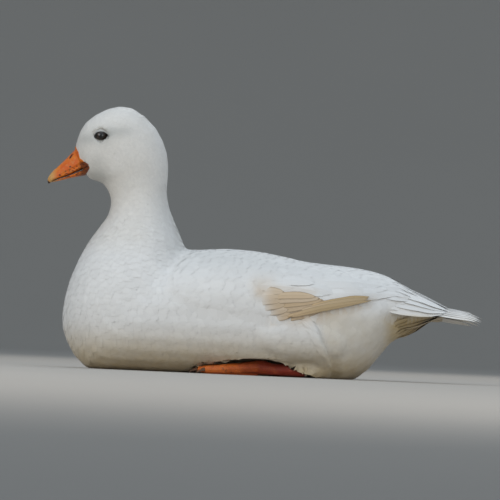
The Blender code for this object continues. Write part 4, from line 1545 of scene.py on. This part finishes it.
def makeFeet():
    material = footMaterial()
    claw = clawMaterial()
    for side in ("left", "right"):
        solids = [arrays(nodes[part + side].data) for part in ("foot_", "shank_")]
        piece = fused("leg_" + side, solids, 0.18 * mm, footShape["voxel"])
        points, faces = arrays(piece.data)
        points = evened(points, faces, 4)
        normals = vertexNormals(points, faces)
        x, y, z = points.T
        # cross scutes over the toes and the shank, and knuckles under the toes
        scute = np.abs(np.sin(math.pi * (y + 0.25 * np.abs(x)) / footShape["scute"])) ** 0.6
        top = ramp(normals[:, 2], -0.1, 0.5)
        knuckle = np.sin(2 * math.pi * y / (15 * mm)) * 0.22 * mm
        off = 0.16 * mm * (scute - 0.7) * top + knuckle * ramp(z, 2 * mm, 5 * mm)
        points = points + normals * off[:, None]
        points[:, 2] = np.maximum(points[:, 2], footShape["clear"])
        moved(piece, points)
        dress(piece, material, "leg_orange", "foot_" + side, "shank_" + side)
        for toe in ("inner", "middle", "outer"):
            nodes[f"claw_{side}_{toe}"].data.materials.clear()
            nodes[f"claw_{side}_{toe}"].data.materials.append(claw)
    print("feet made")


def footMaterial():
    made = Shader("foot")
    low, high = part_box("foot_left")
    place, _, y, z = made.coords()
    toRear = (y - low.y) * (1 / (high.y - low.y))
    cloud = made.noise(place, 110.0, 4.0, 0.6)
    # deeper red towards the rear: partly the leg's own redder skin, partly painted shade
    colour = made.mix((toRear + (cloud - 0.5) * 0.9).step(0.30, 1.0), footShape["orange"], footShape["red"])
    speck = made.noise(place, 420.0, 3.0).step(0.56, 0.68) * toRear.step(0.75, 0.35)
    colour = made.mix(speck * 0.7, colour, (0.10, 0.035, 0.018))
    bright = made.noise(made.stretched(place, 1.0, 0.5, 2.0), 190.0, 2.0).step(0.52, 0.70)
    colour = made.mix(bright * 0.5, colour, (0.62, 0.13, 0.045))
    # paler higher up towards the front: painted light on the toes' tops
    pale = (z - 0.0075) * 300.0 + (cloud - 0.5) * 1.5
    colour = made.mix(pale.step(0.1, 1.4) * toRear.step(0.6, 0.2) * 0.6, colour, footShape["pale"])
    cells = {"feature": "DISTANCE_TO_EDGE"}
    net = made.add("ShaderNodeTexVoronoi", cells, {"Vector": place, "Scale": 620.0}).step(0.0, 0.12)
    colour = made.mix(1.0, colour, 0.72 + 0.28 * net, "MULTIPLY")
    normal = made.bump(net + 0.5 * cloud, 0.16 * mm, 0.8)
    made.set(Subsurface_Weight=0.08, Subsurface_Radius=(0.003, 0.001, 0.0006))
    return made.set(Base_Color=colour, Roughness=0.42 + 0.2 * cloud, Normal=normal)


def clawMaterial():
    made = Shader("claw")
    place, _, y, _ = made.coords()
    low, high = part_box("claw_left_middle")
    streak = made.noise(made.stretched(place, 3.0, 0.6, 3.0), 500.0, 3.0)
    tip = ((y - low.y) * (1 / (high.y - low.y))).step(0.9, 0.0)
    colour = made.mix(streak * 0.6, (0.16, 0.070, 0.030), (0.07, 0.035, 0.020))
    colour = made.mix(tip * 0.6, colour, (0.05, 0.035, 0.028))
    normal = made.bump(streak, 0.08 * mm, 0.5)
    return made.set(Base_Color=colour, Roughness=0.45 + 0.15 * streak, Normal=normal)


makeCamera()
makeStudio()
print("studio made")
skin, surface, outer = makeSkin()
print("skin made", len(surface.points), "points")
feather = plumageMaterial("small_feathers")
bigFeather = plumageMaterial("big_feathers", big=True)
under = plumageMaterial("skin")
store(skin.data, bodyMarks(surface.points))
addLids(skin, outer)
dress(skin, under, "plumage_white", *flesh)
eyeball(1)
eyeball(-1)
makeBill(outer)
makeFeet()
makeCoat(surface, outer, feather)
makeBlades("wing_feathers", wingBlades(outer), bigFeather, 31)
makeBlades("tail_feathers", tailBlades(outer), bigFeather, 32)
makeBlades("flank_feathers", flankBlades(outer), feather, 34)
print("coat made")
